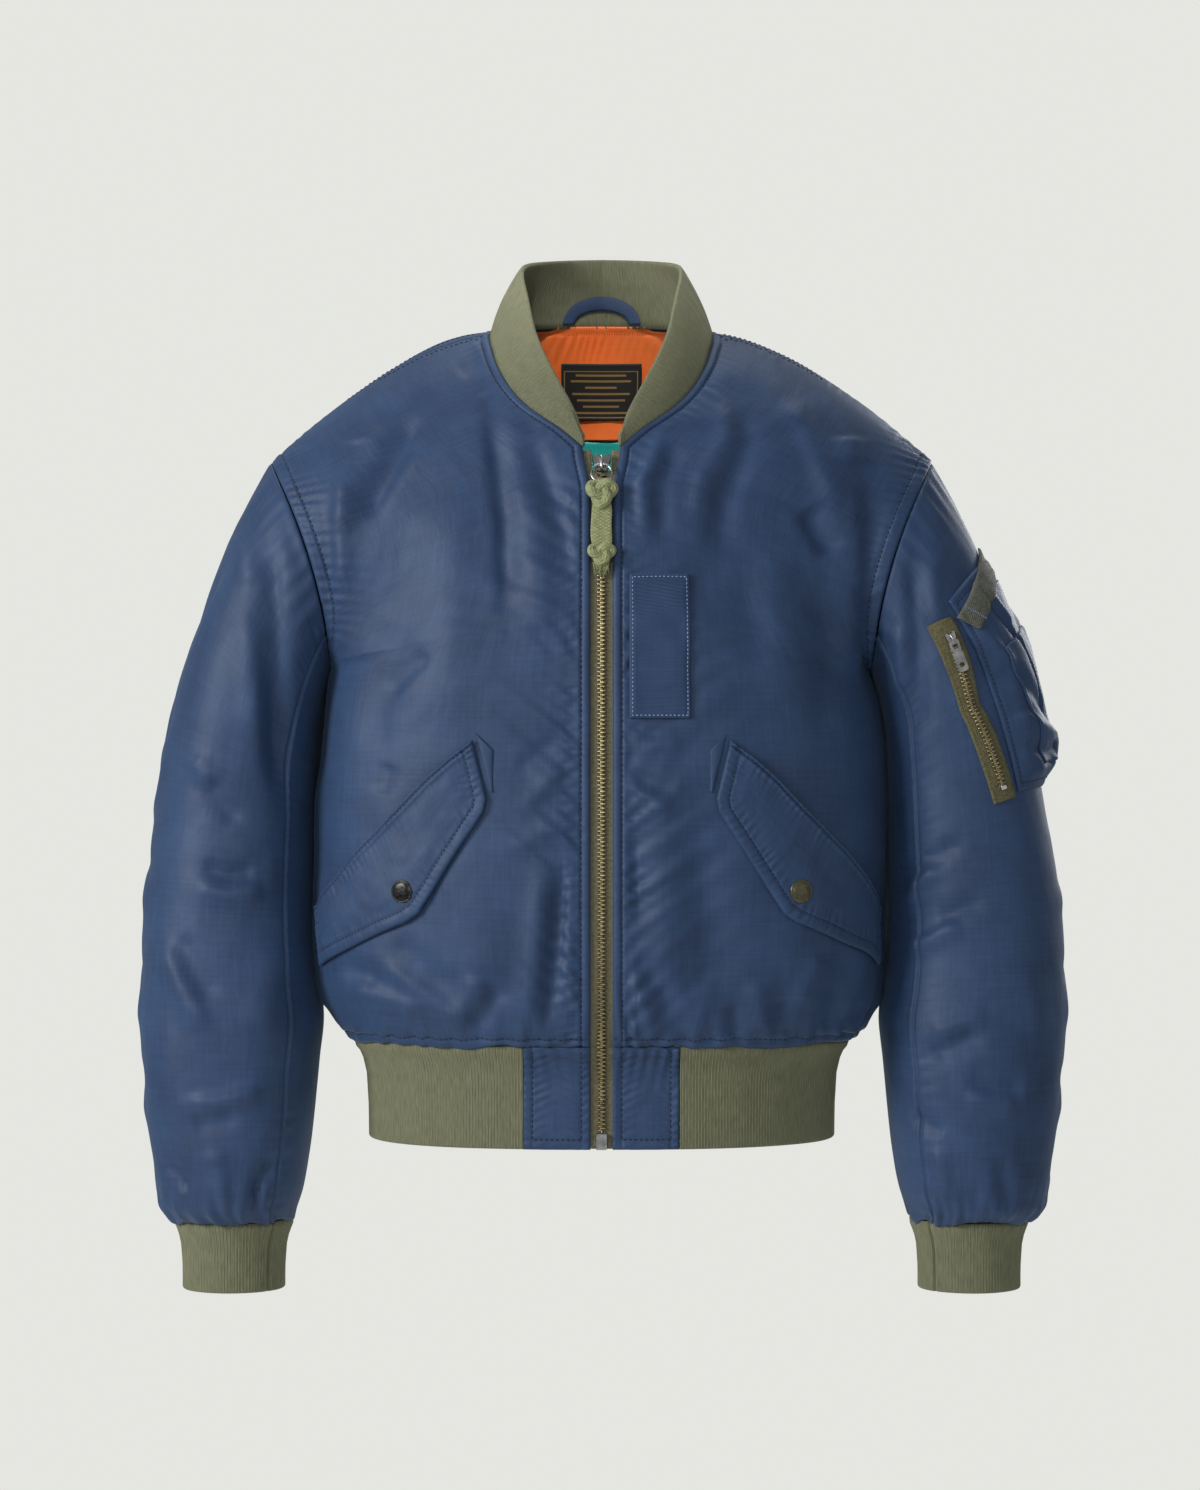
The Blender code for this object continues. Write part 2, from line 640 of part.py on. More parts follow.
# Pocket flaps: across the cloth from the zip edge, and height. The upper edge runs from the side to the tip.
FLAP_UPPER = ((243, -459), (230, -449), (216, -437), (203, -425), (190, -413), (171, -397),
              (160, -387), (149, -377), (129, -357), (109, -340), (90, -326))
FLAP_LOWER = ((237, -503), (222, -497), (206, -491), (190, -485), (166, -475), (143, -466),
              (132, -459), (119, -440), (100, -410), (81, -381), (79, -371))
FLAP_THICKNESS = 2.4
SNAP = (145.0, -442.0)
SNAP_RADIUS = 9.3
SNAP_HEIGHT = 2.6
WELT = ((74.5, -334), (88, -321), (74.5, -366), (76.5, -366))
PATCH = ((12.6, -197), (60.5, -185), (12.6, -310), (60.0, -310))
PATCH_THICKNESS = 1.6


def sheet_on(name, surface, upper, lower, steps, lift, thickness, finish, side=LEFT, mirrored=False):
    """A sheet laid on a surface between two edges, each a list of places on that surface.

    steps is the number of rows from the upper edge to the lower; lift(column, row) is its distance off the
    surface, with column and row from 0 to 1.
    """
    upper = np.array(upper, float)
    lower = np.array(lower, float)
    grid = []
    for row in np.linspace(0, 1, steps):
        edge = upper + (lower - upper) * row
        columns = np.linspace(0, 1, len(edge))
        grid.append([surface(a, b, lift(column, row)) for (a, b), column in zip(edge, columns)])
    turn = side_turn(grid, surface, upper, lower)
    return cloth(name, grid, thickness, finish, turn, side, mirrored)


def side_turn(grid, surface, upper, lower):
    """Whether a grid's own winding faces away from the surface that it is laid on."""
    first = np.array(grid[0][1]) - grid[0][0]
    second = np.array(grid[1][0]) - grid[0][0]
    out = surface(*upper[0], 5.0) - surface(*upper[0], 0.0)
    return 1 if np.dot(np.cross(first, second), out) > 0 else -1


def line_between(start, end, count):
    """Evenly spaced places from one to another."""
    return [tuple(np.array(start) + (np.array(end) - start) * t) for t in np.linspace(0, 1, count)]


def box(name, matrix, size, bevel, finish):
    """A box with rounded edges, in a place given by a matrix in millimetres."""
    mesh = bpy.data.meshes.new(name)
    shape = bmesh.new()
    bmesh.ops.create_cube(shape, size=1)
    bmesh.ops.scale(shape, vec=Vector(size) * MM, verts=shape.verts)
    shape.to_mesh(mesh)
    shape.free()
    made = new_object(name, mesh, finish)
    made.matrix_world = placed(matrix)
    edges = made.modifiers.new("edges", "BEVEL")
    edges.width = bevel * MM
    edges.segments = 2
    return made


def placed(matrix):
    """The same matrix with its position in metres."""
    moved = matrix.copy()
    moved.translation = matrix.translation * MM
    return moved


def frame_at(point, down, out):
    """A frame at a point of the cloth: x across, y outwards, z up along the cloth."""
    up = -Vector(down).normalized()
    outward = (Vector(out) - up * up.dot(Vector(out))).normalized()
    across = outward.cross(up)
    matrix = Matrix((across, outward, up)).transposed().to_4x4()
    matrix.translation = Vector(point)
    return matrix


def cut(target, cutter, operation="DIFFERENCE"):
    """Cut or join one object with another, which is kept as a hidden guide."""
    boolean = target.modifiers.new(cutter.name, "BOOLEAN")
    boolean.operation = operation
    boolean.object = cutter
    jacket.objects.unlink(cutter)
    cutters.objects.link(cutter)
    cutter.hide_render = True
    cutter.display_type = "WIRE"


def torus(name, matrix, radius, wire, finish):
    """A round wire ring in the x-z plane of a frame."""
    mesh = bpy.data.meshes.new(name)
    around, section = 24, 6
    points = []
    for turn in range(around):
        angle = 2 * math.pi * turn / around
        for step in range(section):
            tilt = 2 * math.pi * step / section
            reach = radius + wire * math.cos(tilt)
            point = Vector((reach * math.cos(angle), wire * math.sin(tilt), reach * math.sin(angle)))
            points.append(point * MM)
    faces = [[turn * section + step, turn * section + (step + 1) % section,
              (turn + 1) % around * section + (step + 1) % section, (turn + 1) % around * section + step]
             for turn in range(around) for step in range(section)]
    mesh.from_pydata(points, [], faces)
    mesh.shade_smooth()
    made = new_object(name, mesh, finish)
    made.matrix_world = placed(matrix)
    return made


def rod(name, matrix, radius, length, finish):
    """A round rod along the x axis of a frame."""
    mesh = bpy.data.meshes.new(name)
    shape = bmesh.new()
    bmesh.ops.create_cone(shape, cap_ends=True, segments=16, radius1=radius * MM, radius2=radius * MM,
                          depth=length * MM)
    bmesh.ops.rotate(shape, matrix=Matrix.Rotation(math.pi / 2, 3, "Y"), verts=shape.verts)
    shape.to_mesh(mesh)
    shape.free()
    made = new_object(name, mesh, finish)
    made.matrix_world = placed(matrix)
    return made


def slider(name, matrix, size, bail, eye, finish):
    """A zip slider: a rounded body with a bail on its face. Returns the centre of the bail's eye."""
    body = box(name, matrix, size, 1.2, finish)
    stand = size[1] / 2 + bail[1] / 2 - 0.6
    arch = box(name + "_bail", matrix @ Matrix.Translation((0, stand, -BAIL_DROP)), bail, 0.5, finish)
    cut(body, arch, "UNION")
    pivot = matrix @ Matrix.Translation((0, size[1] / 2 + eye + SEAM_GAP, -BAIL_DROP))
    cut(body, rod(name + "_eye", pivot, eye, size[0], finish))
    return pivot


cutters = bpy.data.collections.new("cutters")
bpy.context.scene.collection.children.link(cutters)

for side, name in ((RIGHT, "right"), (LEFT, "left")):
    sheet_on("pocket_flap_" + name, on_front, FLAP_UPPER, FLAP_LOWER, 5,
             lambda column, row: LAID_GAP, -FLAP_THICKNESS, "navy_nylon", side)
    sheet_on("pocket_welt_" + name, on_front, WELT[:2], WELT[2:], 4,
             lambda column, row: LAID_GAP / 2, -1.2, "navy_nylon", side)
sheet_on("chest_patch", on_front, line_between(*PATCH[:2], 5), line_between(*PATCH[2:], 5), 7,
         lambda column, row: LAID_GAP, -PATCH_THICKNESS, "navy_nylon")


def snap(name, side, finish):
    """A snap's round cap on a flap."""
    lift = LAID_GAP + FLAP_THICKNESS + SEAM_GAP
    base = on_front(*SNAP, lift)
    out = base - on_front(*SNAP, 0)
    base[0] *= side
    out[0] *= side
    direction = Vector(out).normalized()
    profile = ((0, SNAP_HEIGHT), (0.5, SNAP_HEIGHT * 0.94), (0.82, SNAP_HEIGHT * 0.72),
               (1, SNAP_HEIGHT * 0.32), (1, 0), (0, 0))
    mesh = bpy.data.meshes.new(name)
    mesh.from_pydata([(radius * SNAP_RADIUS * MM, 0, height * MM) for radius, height in profile],
                     [(i, i + 1) for i in range(len(profile) - 1)], [])
    made = new_object(name, mesh, finish)
    turned = made.modifiers.new("turned", "SCREW")
    turned.steps = turned.render_steps = 24
    turned.use_merge_vertices = True
    turned.merge_threshold = 0.0001
    matrix = direction.to_track_quat("Z", "Y").to_matrix().to_4x4()
    matrix.translation = Vector(base)
    made.matrix_world = placed(matrix)


snap("snap_right", RIGHT, "snap_dark")
snap("snap_left", LEFT, "snap_olive")

# Front zip: everything follows the fronts' centre profile.
ZIP_TOP = -101.0
SLIDER_CENTRE = -112.5
SLIDER_SIZE = (14.4, 6.0, 14.0)
SLIDER_BAIL = (3.2, 5.2, 8.0)
SLIDER_EYE = 1.6
BAIL_DROP = 2.5
END_BOX_SIZE = (9.0, 5.0, 13.0)
END_BOX_CENTRE = -634.5
TAPE_RECESS = SHELL + 1.4        # clear of the flat faces of the fronts
TAPE_THICKNESS = 1.0
TAPE_WIDTH = 20.0
CHAIN_WIDTH = 7.0
CHAIN_THICKNESS = 2.8


def zip_tape(name, side):
    """One zip tape behind a front's edge; it stands clear of the slider and of the end box."""
    at_box = END_BOX_SIZE[0] / 2 + SEAM_GAP
    at_slider = SLIDER_SIZE[0] / 2 + SEAM_GAP
    below_slider = SLIDER_CENTRE - SLIDER_SIZE[2] / 2
    above_box = END_BOX_CENTRE + END_BOX_SIZE[2] / 2
    heights = [(HEM_EDGE, at_box), (above_box + 1, at_box), (above_box + 2, SEAM_GAP)]
    heights += [(height, SEAM_GAP) for height in (-600, -577, -567, HEM_SEAM, -556, -545, -525)]
    heights += [(height, SEAM_GAP) for height in np.linspace(-490, below_slider - 20, 12)]
    heights += [(below_slider - 2, SEAM_GAP), (below_slider - 1, at_slider), (ZIP_TOP, at_slider + 1)]
    grid = []
    for height, inner in heights:
        (y, z), _ = front_line(height, -TAPE_RECESS)
        grid.append([(x, y, z) for x in np.linspace(inner, TAPE_WIDTH, 3)])
    cloth(name, grid, TAPE_THICKNESS, "zip_tape", 1, side)


zip_tape("zip_tape_right", RIGHT)
zip_tape("zip_tape_left", LEFT)


def zip_chain(name):
    """The closed teeth as a plain strip that lies on the two tapes."""
    bottom = END_BOX_CENTRE + END_BOX_SIZE[2] / 2 + SEAM_GAP + 1
    top = SLIDER_CENTRE - SLIDER_SIZE[2] / 2 - SEAM_GAP - 1
    heights = [bottom, -600, -577, -567, HEM_SEAM, -556, -545, -525, *np.linspace(-490, top, 14)]
    grid = []
    for height in heights:
        (y, z), _ = front_line(height, -TAPE_RECESS + SEAM_GAP + CHAIN_THICKNESS)
        grid.append([(x, y, z) for x in np.linspace(-CHAIN_WIDTH / 2, CHAIN_WIDTH / 2, 3)])
    cloth(name, grid, CHAIN_THICKNESS, "brass", 1)


zip_chain("zip_chain")


def centre_frame(height, lift):
    """A frame on the front's centre profile."""
    (y, z), down = front_line(height, lift)
    return frame_at((0, y, z), (0, *down), (0, down[1], -down[0]))


box("zip_end_box", centre_frame(END_BOX_CENTRE, -1.2), END_BOX_SIZE, 1.0, "steel")
front_eye = slider("zip_slider", centre_frame(SLIDER_CENTRE, -1.5), SLIDER_SIZE, SLIDER_BAIL, SLIDER_EYE,
                   "steel")

# The pull: a ring in the slider's eye, tilted out over the cloth, and a knotted strap on the ring.
RING_RADIUS = 8.0
RING_WIRE = 0.9
RING_TILT = 27.0
Knot = namedtuple("Knot", "height half_width half_thickness")
LEADER = (
    Knot(-125.5, 3.0, 2.0), Knot(-127.5, 9.0, 4.0), Knot(-131, 12.0, 5.0), Knot(-137, 12.3, 5.2),
    Knot(-143, 12.0, 5.0), Knot(-148, 9.5, 3.6), Knot(-151, 8.3, 2.2), Knot(-162, 8.0, 1.9),
    Knot(-173, 8.0, 1.9), Knot(-177, 9.3, 3.2), Knot(-181, 11.2, 4.6), Knot(-187, 11.0, 4.8),
    Knot(-191, 9.0, 3.8), Knot(-195, 6.5, 2.6), Knot(-199, 4.0, 1.6),
)
tilt = math.radians(RING_TILT)
pivot = front_eye.translation
hang = Vector((0, -math.sin(tilt), -math.cos(tilt)))
ring_frame = frame_at(pivot + hang * RING_RADIUS, hang, (0, -math.cos(tilt), math.sin(tilt)))
ring = torus("zip_pull_ring", ring_frame, RING_RADIUS, RING_WIRE, "steel")


def leader(name):
    """The knotted strap: oval sections along a line that follows the front just off its cloth."""
    around = 12
    points, faces = [], []
    for knot in LEADER:
        (y, z), down = front_line(knot.height, knot.half_thickness + 1.2)
        for step in range(around):
            angle = 2 * math.pi * step / around
            deep = knot.half_thickness * math.sin(angle)
            points.append((knot.half_width * math.cos(angle) * MM, (y + down[1] * deep) * MM,
                           (z - down[0] * deep) * MM))
    for row in range(len(LEADER) - 1):
        for step in range(around):
            beside = (step + 1) % around
            faces.append([row * around + step, row * around + beside, (row + 1) * around + beside,
                          (row + 1) * around + step])
    faces.append(list(range(around))[::-1])
    faces.append(list(range((len(LEADER) - 1) * around, len(LEADER) * around)))
    mesh = bpy.data.meshes.new(name)
    mesh.from_pydata(points, [], faces)
    mesh.shade_smooth()
    shape = bmesh.new()
    shape.from_mesh(mesh)
    bmesh.ops.recalc_face_normals(shape, faces=shape.faces)
    shape.to_mesh(mesh)
    shape.free()
    return new_object(name, mesh, "sage_cord")


strap = leader("zip_pull_leader")
cut(strap, torus("leader_groove", ring_frame, RING_RADIUS, RING_WIRE + SEAM_GAP, "steel"))


# Sleeve pocket -----------------------------------------------------------------------------------------
# Places on the left sleeve are degrees round it and the share of its length from the armhole.
POCKET_FRONT = ((75.5, 0.100), (59, 0.368))
POCKET_BACK = ((-32, 0.118), (-35, 0.372))
POCKET_THICKNESS = 1.6
POCKET_FULLNESS = 9.0
PEN_FRONT = ((54, 0.190), (36, 0.340))
PEN_BACK = ((-8, 0.185), (-10, 0.340))
SLEEVE_TAPE = ((94, 0.095), (93, 0.165), (91, 0.235), (85, 0.310), (79, 0.378))
SLEEVE_TAPE_WIDTH = 22.0
SLEEVE_CHAIN_WIDTH = 6.0
SLEEVE_LAID_GAP = 1.0
WEBBING = ((70, 0.140), (12, 0.108))
WEBBING_WIDTH = 20.0


def pocket_lift(column, row):
    """How far the sleeve pocket stands off: least at its sewn edges, fullest low on its outer side."""
    round_it = ease(column / 0.22) * ease((1 - column) / 0.16)
    down_it = ease(row / 0.5) * ease((1 - row) / 0.1)
    return SLEEVE_LAID_GAP + POCKET_FULLNESS * round_it * (0.35 * ease(row / 0.12) * ease((1 - row) / 0.1) +
                                                           0.65 * down_it)


def pocket_place(degrees, share):
    """Where a place on the sleeve lies in the pocket: column from its front edge, row from its top."""
    row = 0.5
    for _ in range(6):
        front = np.array(POCKET_FRONT[0]) + (np.array(POCKET_FRONT[1]) - POCKET_FRONT[0]) * row
        back = np.array(POCKET_BACK[0]) + (np.array(POCKET_BACK[1]) - POCKET_BACK[0]) * row
        column = (front[0] - degrees) / (front[0] - back[0])
        top = POCKET_FRONT[0][1] + (POCKET_BACK[0][1] - POCKET_FRONT[0][1]) * column
        bottom = POCKET_FRONT[1][1] + (POCKET_BACK[1][1] - POCKET_FRONT[1][1]) * column
        row = (share - top) / (bottom - top)
    return column, row


def on_pocket(degrees, share, lift):
    """A point over the sleeve pocket's outer face."""
    column, row = pocket_place(degrees, share)
    return on_sleeve(degrees, share, pocket_lift(column, row) + POCKET_THICKNESS + lift)


def band(line, width, offset, surface):
    """The two edges of a band along a line of places on the sleeve, offset sideways in millimetres."""
    line = np.array(line, float)
    edges = []
    for reach in (offset - width / 2, offset + width / 2):
        edge = []
        for i, (degrees, share) in enumerate(line):
            before, after = line[max(i - 1, 0)], line[min(i + 1, len(line) - 1)]
            here = surface(degrees, share, 0)
            way = surface(*after, 0) - surface(*before, 0)
            turned = surface(degrees - 1, share, 0) - here
            slid = surface(degrees, share + 0.002, 0) - here
            normal = np.cross(way, np.cross(turned, slid))
            side_way = normal / np.linalg.norm(normal)
            amounts, *_ = np.linalg.lstsq(np.stack([turned, slid], axis=1), side_way * reach, rcond=None)
            edge.append((degrees - amounts[0], share + 0.002 * amounts[1]))
        edges.append(edge)
    return edges


def resample(line, count):
    """The same line of places with evenly spaced points."""
    line = np.array(line, float)
    at = np.linspace(0, len(line) - 1, count)
    return np.stack([np.interp(at, np.arange(len(line)), line[:, axis]) for axis in (0, 1)], axis=1)


def flat_lift(lift):
    """The same distance off the surface everywhere."""
    return lambda column, row: lift


upper = line_between(POCKET_FRONT[0], POCKET_BACK[0], 11)
lower = line_between(POCKET_FRONT[1], POCKET_BACK[1], 11)
sheet_on("sleeve_pocket", on_sleeve, upper, lower, 10, pocket_lift, -POCKET_THICKNESS, "navy_nylon")
upper = line_between(PEN_FRONT[0], PEN_BACK[0], 6)
lower = line_between(PEN_FRONT[1], PEN_BACK[1], 6)
sheet_on("pen_pocket", on_pocket, upper, lower, 7, flat_lift(1.6), -1.4, "navy_nylon")

tape_edges = band(resample(SLEEVE_TAPE, 10), SLEEVE_TAPE_WIDTH, SLEEVE_TAPE_WIDTH / 2, on_sleeve)
middle_line = (np.array(tape_edges[0]) + np.array(tape_edges[1])) / 2
sheet_on("sleeve_zip_tape", on_sleeve, *tape_edges, 3, flat_lift(0.9), -TAPE_THICKNESS, "zip_tape")
chain_line = middle_line[2:]
chain_edges = band(chain_line, SLEEVE_CHAIN_WIDTH, 0, on_sleeve)
chain_lift = 0.9 + TAPE_THICKNESS + SEAM_GAP
sheet_on("sleeve_zip_chain", on_sleeve, *chain_edges, 2, flat_lift(chain_lift), -1.8, "brass")

# Sleeve zip slider with its metal tab, at the top of the zip.
SLEEVE_SLIDER_SIZE = (8.4, 4.4, 11.0)
SLEEVE_BAIL = (2.4, 4.4, 6.4)
TAB_SIZE = (8.5, 1.2, 25.0)
TAB_HOLE = 2.2


def sleeve_frame(lift):
    """A frame on the sleeve zip at its slider: z up along the zip, y outwards."""
    place, below = middle_line[1], middle_line[3]
    point = on_sleeve(*place, lift)
    down = Vector(on_sleeve(*below, lift) - point)
    return frame_at(point, down, Vector(point - on_sleeve(*place, 0)))


slider_lift = 0.9 + TAPE_THICKNESS + SEAM_GAP + SLEEVE_SLIDER_SIZE[1] / 2 + 0.6
sleeve_eye = slider("sleeve_zip_slider", sleeve_frame(slider_lift), SLEEVE_SLIDER_SIZE, SLEEVE_BAIL,
                    SLIDER_EYE, "steel")


def zip_tab(name, eye):
    """The flat metal tab: its top bar lies in the bail's eye, and it has a hole at its lower end."""
    top = 1.0
    centre = eye @ Matrix.Translation((0, 0, top - TAB_SIZE[2] / 2))
    tab = box(name, centre, TAB_SIZE, 0.4, "steel")
    slot = (SLEEVE_BAIL[0] + 0.8, TAB_SIZE[1] * 3, 4.4)
    cut(tab, box(name + "_slot", eye @ Matrix.Translation((0, 0, -top - slot[2] / 2)), slot, 0.1, "steel"))
    hole = eye @ Matrix.Translation((0, 0, top - TAB_SIZE[2] + 5)) @ Matrix.Rotation(math.pi / 2, 4, "Z")
    cut(tab, rod(name + "_hole", hole, TAB_HOLE, TAB_SIZE[1] * 4, "steel"))
    return tab


tab = zip_tab("sleeve_zip_tab", sleeve_eye)

# The webbing tab over the top of the sleeve pocket.
line = resample(WEBBING, 7)
sheet_on("webbing_tab", on_pocket, *band(line, WEBBING_WIDTH, 0, on_sleeve), 3, flat_lift(1.1), -1.6,
         "grey_webbing")

# Inside the neck ------------------------------------------------------------------------------------------
LINING_COLUMNS = 6
LINING_ROWS = (-76, -50, -18)    # the back's own rows that the two stretches of lining share
BAND_ROWS = (-122, -99, -76)
LINING_RECESS = SHELL + 0.8
LABEL = (33.0, -14.0, -59.0)     # half width, top and bottom on the centre back
LABEL_GAP = 1.2
LOOP_WIDTH = 11.0
LOOP_SPAN = 59.0
LOOP_RISE = 17.0
LOOP_RECESS = 1.9                # off the collar's curved inner face, clear of its flat faces


def lining(name, rows, finish):
    """A stretch of the lining inside the back, on the back's own rows and columns."""
    grid = []
    for v in rows:
        places = columns_of(BACK, v)[:LINING_COLUMNS]
        if v > 1 + NECK_SHARE[BACK]:
            places = places + 1.0
        grid.append([on_back(across, v, -LINING_RECESS) for across in places])
    return cloth(name, grid, LINING, finish, -1, mirrored=True)


lining_rows = [row_at(BACK, height) for height in LINING_ROWS]
lining_rows[0] += 0.0005
neck_side = neck_rows(BACK)
neck_side[0] -= 0.006
lining("lining_back", [*lining_rows, *neck_side], "orange_nylon")
band_rows = [row_at(BACK, height) for height in BAND_ROWS]
band_rows[-1] -= 0.0005
lining("lining_band", band_rows, "teal_nylon")


def label(name):
    """The neck label on the lining."""
    half_width, top, bottom = LABEL
    grid = []
    for height in np.linspace(bottom, top, 4):
        v = row_at(BACK, height)
        places = np.linspace(0, half_width, 4)
        grid.append([on_back(across, v, -LINING_RECESS - LINING - LABEL_GAP) for across in places])
    return cloth(name, grid, 0.8, "label_cloth", -1, mirrored=True)


label("neck_label")


def hanger_loop(name):
    """The hanger loop: an arch of flat tape against the inside of the collar."""
    steps = 9
    length = lengths(COLLAR_ROWS[:, :3])[-1]
    grid = []
    for reach in (0.0, 0.5, 1.0):
        row = []
        for step in range(steps):
            angle = math.pi / 2 * step / (steps - 1)
            across = (LOOP_SPAN / 2 - LOOP_WIDTH * (reach - 0.5)) * math.sin(angle)
            rise = 3 + (LOOP_RISE + LOOP_WIDTH / 2 - LOOP_WIDTH * reach) * math.cos(angle)
            row.append(on_collar(across / length, rise / COLLAR_HEIGHT, -RIB - LOOP_RECESS))
        grid.append(row)
    return cloth(name, grid, 1.2, "navy_nylon", 1, mirrored=True)


hanger_loop("hanger_loop")


# Joints -----------------------------------------------------------------------------------------------------

def hinge(name, eye, pieces):
    """An empty on a hinge's axis, which carries what swings on it."""
    empty = bpy.data.objects.new(name, None)
    jacket.objects.link(empty)
    empty.matrix_world = placed(eye)
    empty.parent = root
    bpy.context.view_layer.update()
    for piece in pieces:
        kept = piece.matrix_world.copy()
        piece.parent = empty
        piece.matrix_parent_inverse = empty.matrix_world.inverted()
        piece.matrix_world = kept


hinge("front_zip_hinge", front_eye, (ring, strap))
hinge("sleeve_zip_hinge", sleeve_eye, (tab,))
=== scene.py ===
# %% [markdown]
# # An empty bomber jacket
# This notebook dresses an engineering model of a flight jacket: a padded nylon shell, knitted ribs at
# the neck, hem and wrists, two flap pockets, a brass zip and a zipped pocket on the left sleeve. The
# jacket stands filled out with no one in it, as a sample does on an invisible form, so it is hollow.
# Lengths are in millimetres until a mesh is made. +Z is up, and the wearer faces -Y.

# %% Load the frame
import json
import math
from collections import namedtuple
from functools import partial

import bmesh
import bpy
import numpy as np
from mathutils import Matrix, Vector

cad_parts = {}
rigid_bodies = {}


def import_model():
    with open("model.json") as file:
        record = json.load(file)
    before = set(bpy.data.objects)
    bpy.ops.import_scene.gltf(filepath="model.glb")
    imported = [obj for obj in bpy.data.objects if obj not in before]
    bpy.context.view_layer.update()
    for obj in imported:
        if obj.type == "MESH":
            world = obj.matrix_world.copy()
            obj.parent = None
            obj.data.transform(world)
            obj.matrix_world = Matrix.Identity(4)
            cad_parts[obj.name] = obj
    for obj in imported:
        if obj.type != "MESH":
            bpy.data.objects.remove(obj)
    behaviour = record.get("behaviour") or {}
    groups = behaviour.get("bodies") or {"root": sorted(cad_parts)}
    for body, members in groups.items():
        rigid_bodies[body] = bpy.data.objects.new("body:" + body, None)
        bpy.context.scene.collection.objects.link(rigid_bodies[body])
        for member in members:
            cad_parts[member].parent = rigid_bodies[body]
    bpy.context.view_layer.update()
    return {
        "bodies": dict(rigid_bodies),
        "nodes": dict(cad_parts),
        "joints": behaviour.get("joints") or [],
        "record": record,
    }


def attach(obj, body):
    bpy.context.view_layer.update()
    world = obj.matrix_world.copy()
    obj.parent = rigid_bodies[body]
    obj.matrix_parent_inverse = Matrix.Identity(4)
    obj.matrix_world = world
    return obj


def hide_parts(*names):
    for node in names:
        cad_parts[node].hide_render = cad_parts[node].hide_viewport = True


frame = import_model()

MM = 0.001
FRONT, BACK = -1, 1
RIGHT, LEFT = -1, 1          # the wearer's right is -X
SIDES = ((RIGHT, "right"), (LEFT, "left"))
print("CAD nodes:", len(frame["nodes"]))

# %% [markdown]
# ## Camera and light
# A jacket is shown straight on, from a few metres away with a long lens, so that its sides don't bulge.
# The light is a big soft box high on the left with a weak fill on the right: satin nylon needs large
# lights, because its sheen is a blurred picture of them. The world gives the pale, even backdrop.

# %% Camera, lights and floor


def linear(code):
    """An sRGB colour such as "#3A4A6B" in linear light."""
    channels = [int(code[i:i + 2], 16) / 255 for i in (1, 3, 5)]
    return [c / 12.92 if c <= 0.04045 else ((c + 0.055) / 1.055) ** 2.4 for c in channels] + [1.0]


def add(tree, kind, links=None, values=None, **settings):
    """Add one shader node with its settings, its input values and the links into it."""
    made = tree.nodes.new("ShaderNode" + kind)
    for setting, value in settings.items():
        setattr(made, setting, value)
    for socket, value in (values or {}).items():
        made.inputs[socket].default_value = value
    for socket, source in (links or {}).items():
        tree.links.new(source.outputs[0] if hasattr(source, "outputs") else source, made.inputs[socket])
    return made


def finish(name, colour, roughness, **sockets):
    """A new material; its shader's sockets are given by name, with _ for a space."""
    made = bpy.data.materials.new(name)
    made.use_nodes = True
    shader = made.node_tree.nodes["Principled BSDF"]
    shader.inputs["Base Color"].default_value = linear(colour)
    shader.inputs["Roughness"].default_value = roughness
    for socket, value in sockets.items():
        shader.inputs[socket.replace("_", " ")].default_value = value
    return made, made.node_tree, shader


def set_up(name, data, location, target=None):
    """Put an object in the scene, turned towards a target if there is one."""
    made = bpy.data.objects.new(name, data)
    made.location = location
    if target:
        made.rotation_euler = (Vector(target) - made.location).to_track_quat("-Z", "Y").to_euler()
    scene.collection.objects.link(made)
    return made


def circle(radius, count):
    """Evenly spaced points once round a circle."""
    turns = np.linspace(0, 2 * math.pi, count, endpoint=False)
    return radius * np.stack([np.cos(turns), np.sin(turns)], axis=1)


BACKDROP = "#E5E6E1"
scene = bpy.context.scene
scene.view_settings.view_transform = "Standard"
camera = set_up("camera", bpy.data.cameras.new("camera"), (-0.0012, -2.8, -0.330))
camera.data.lens = 84.56
camera.rotation_euler = (math.pi / 2, 0, 0)
scene.camera = camera

world = bpy.data.worlds.new("studio")
world.use_nodes = True
sky = world.node_tree
sky.nodes.clear()
to_camera = add(sky, "Background", values={"Color": linear(BACKDROP), "Strength": 1.0})
to_cloth = add(sky, "Background", values={"Color": linear("#E8ECF2"), "Strength": 0.30})
seen = add(sky, "LightPath").outputs["Is Camera Ray"]
add(sky, "OutputWorld", {"Surface": add(sky, "MixShader", {0: seen, 1: to_cloth, 2: to_camera})})
scene.world = world

SOFT_BOXES = (               # name, where it hangs, its size, and its power in watts
    ("key", (-2.45, -1.75, 0.55), 1.1, 73), ("front", (-0.4, -2.7, 0.1), 0.7, 12),
    ("fill", (2.3, -2.2, -0.1), 1.8, 5), ("top", (0.1, 0.6, 1.9), 1.6, 16),
    ("back", (1.6, 2.3, 0.5), 1.4, 30),
)
for name, location, size, power in SOFT_BOXES:
    light = bpy.data.lights.new(name, "AREA")
    light.size = size
    light.energy = power
    set_up(name, light, location, (0, 0, -0.35))

# A narrow lamp with a snoot looks down into the neck, so that the lining shows its colour.
snoot = bpy.data.lights.new("snoot", "SPOT")
snoot.energy = 84
snoot.spot_size = math.radians(8.5)
snoot.spot_blend = 1.0
snoot.shadow_soft_size = 0.06
set_up("snoot", snoot, (-0.1, -1.0, 0.85), (0, 0.09, -0.06))

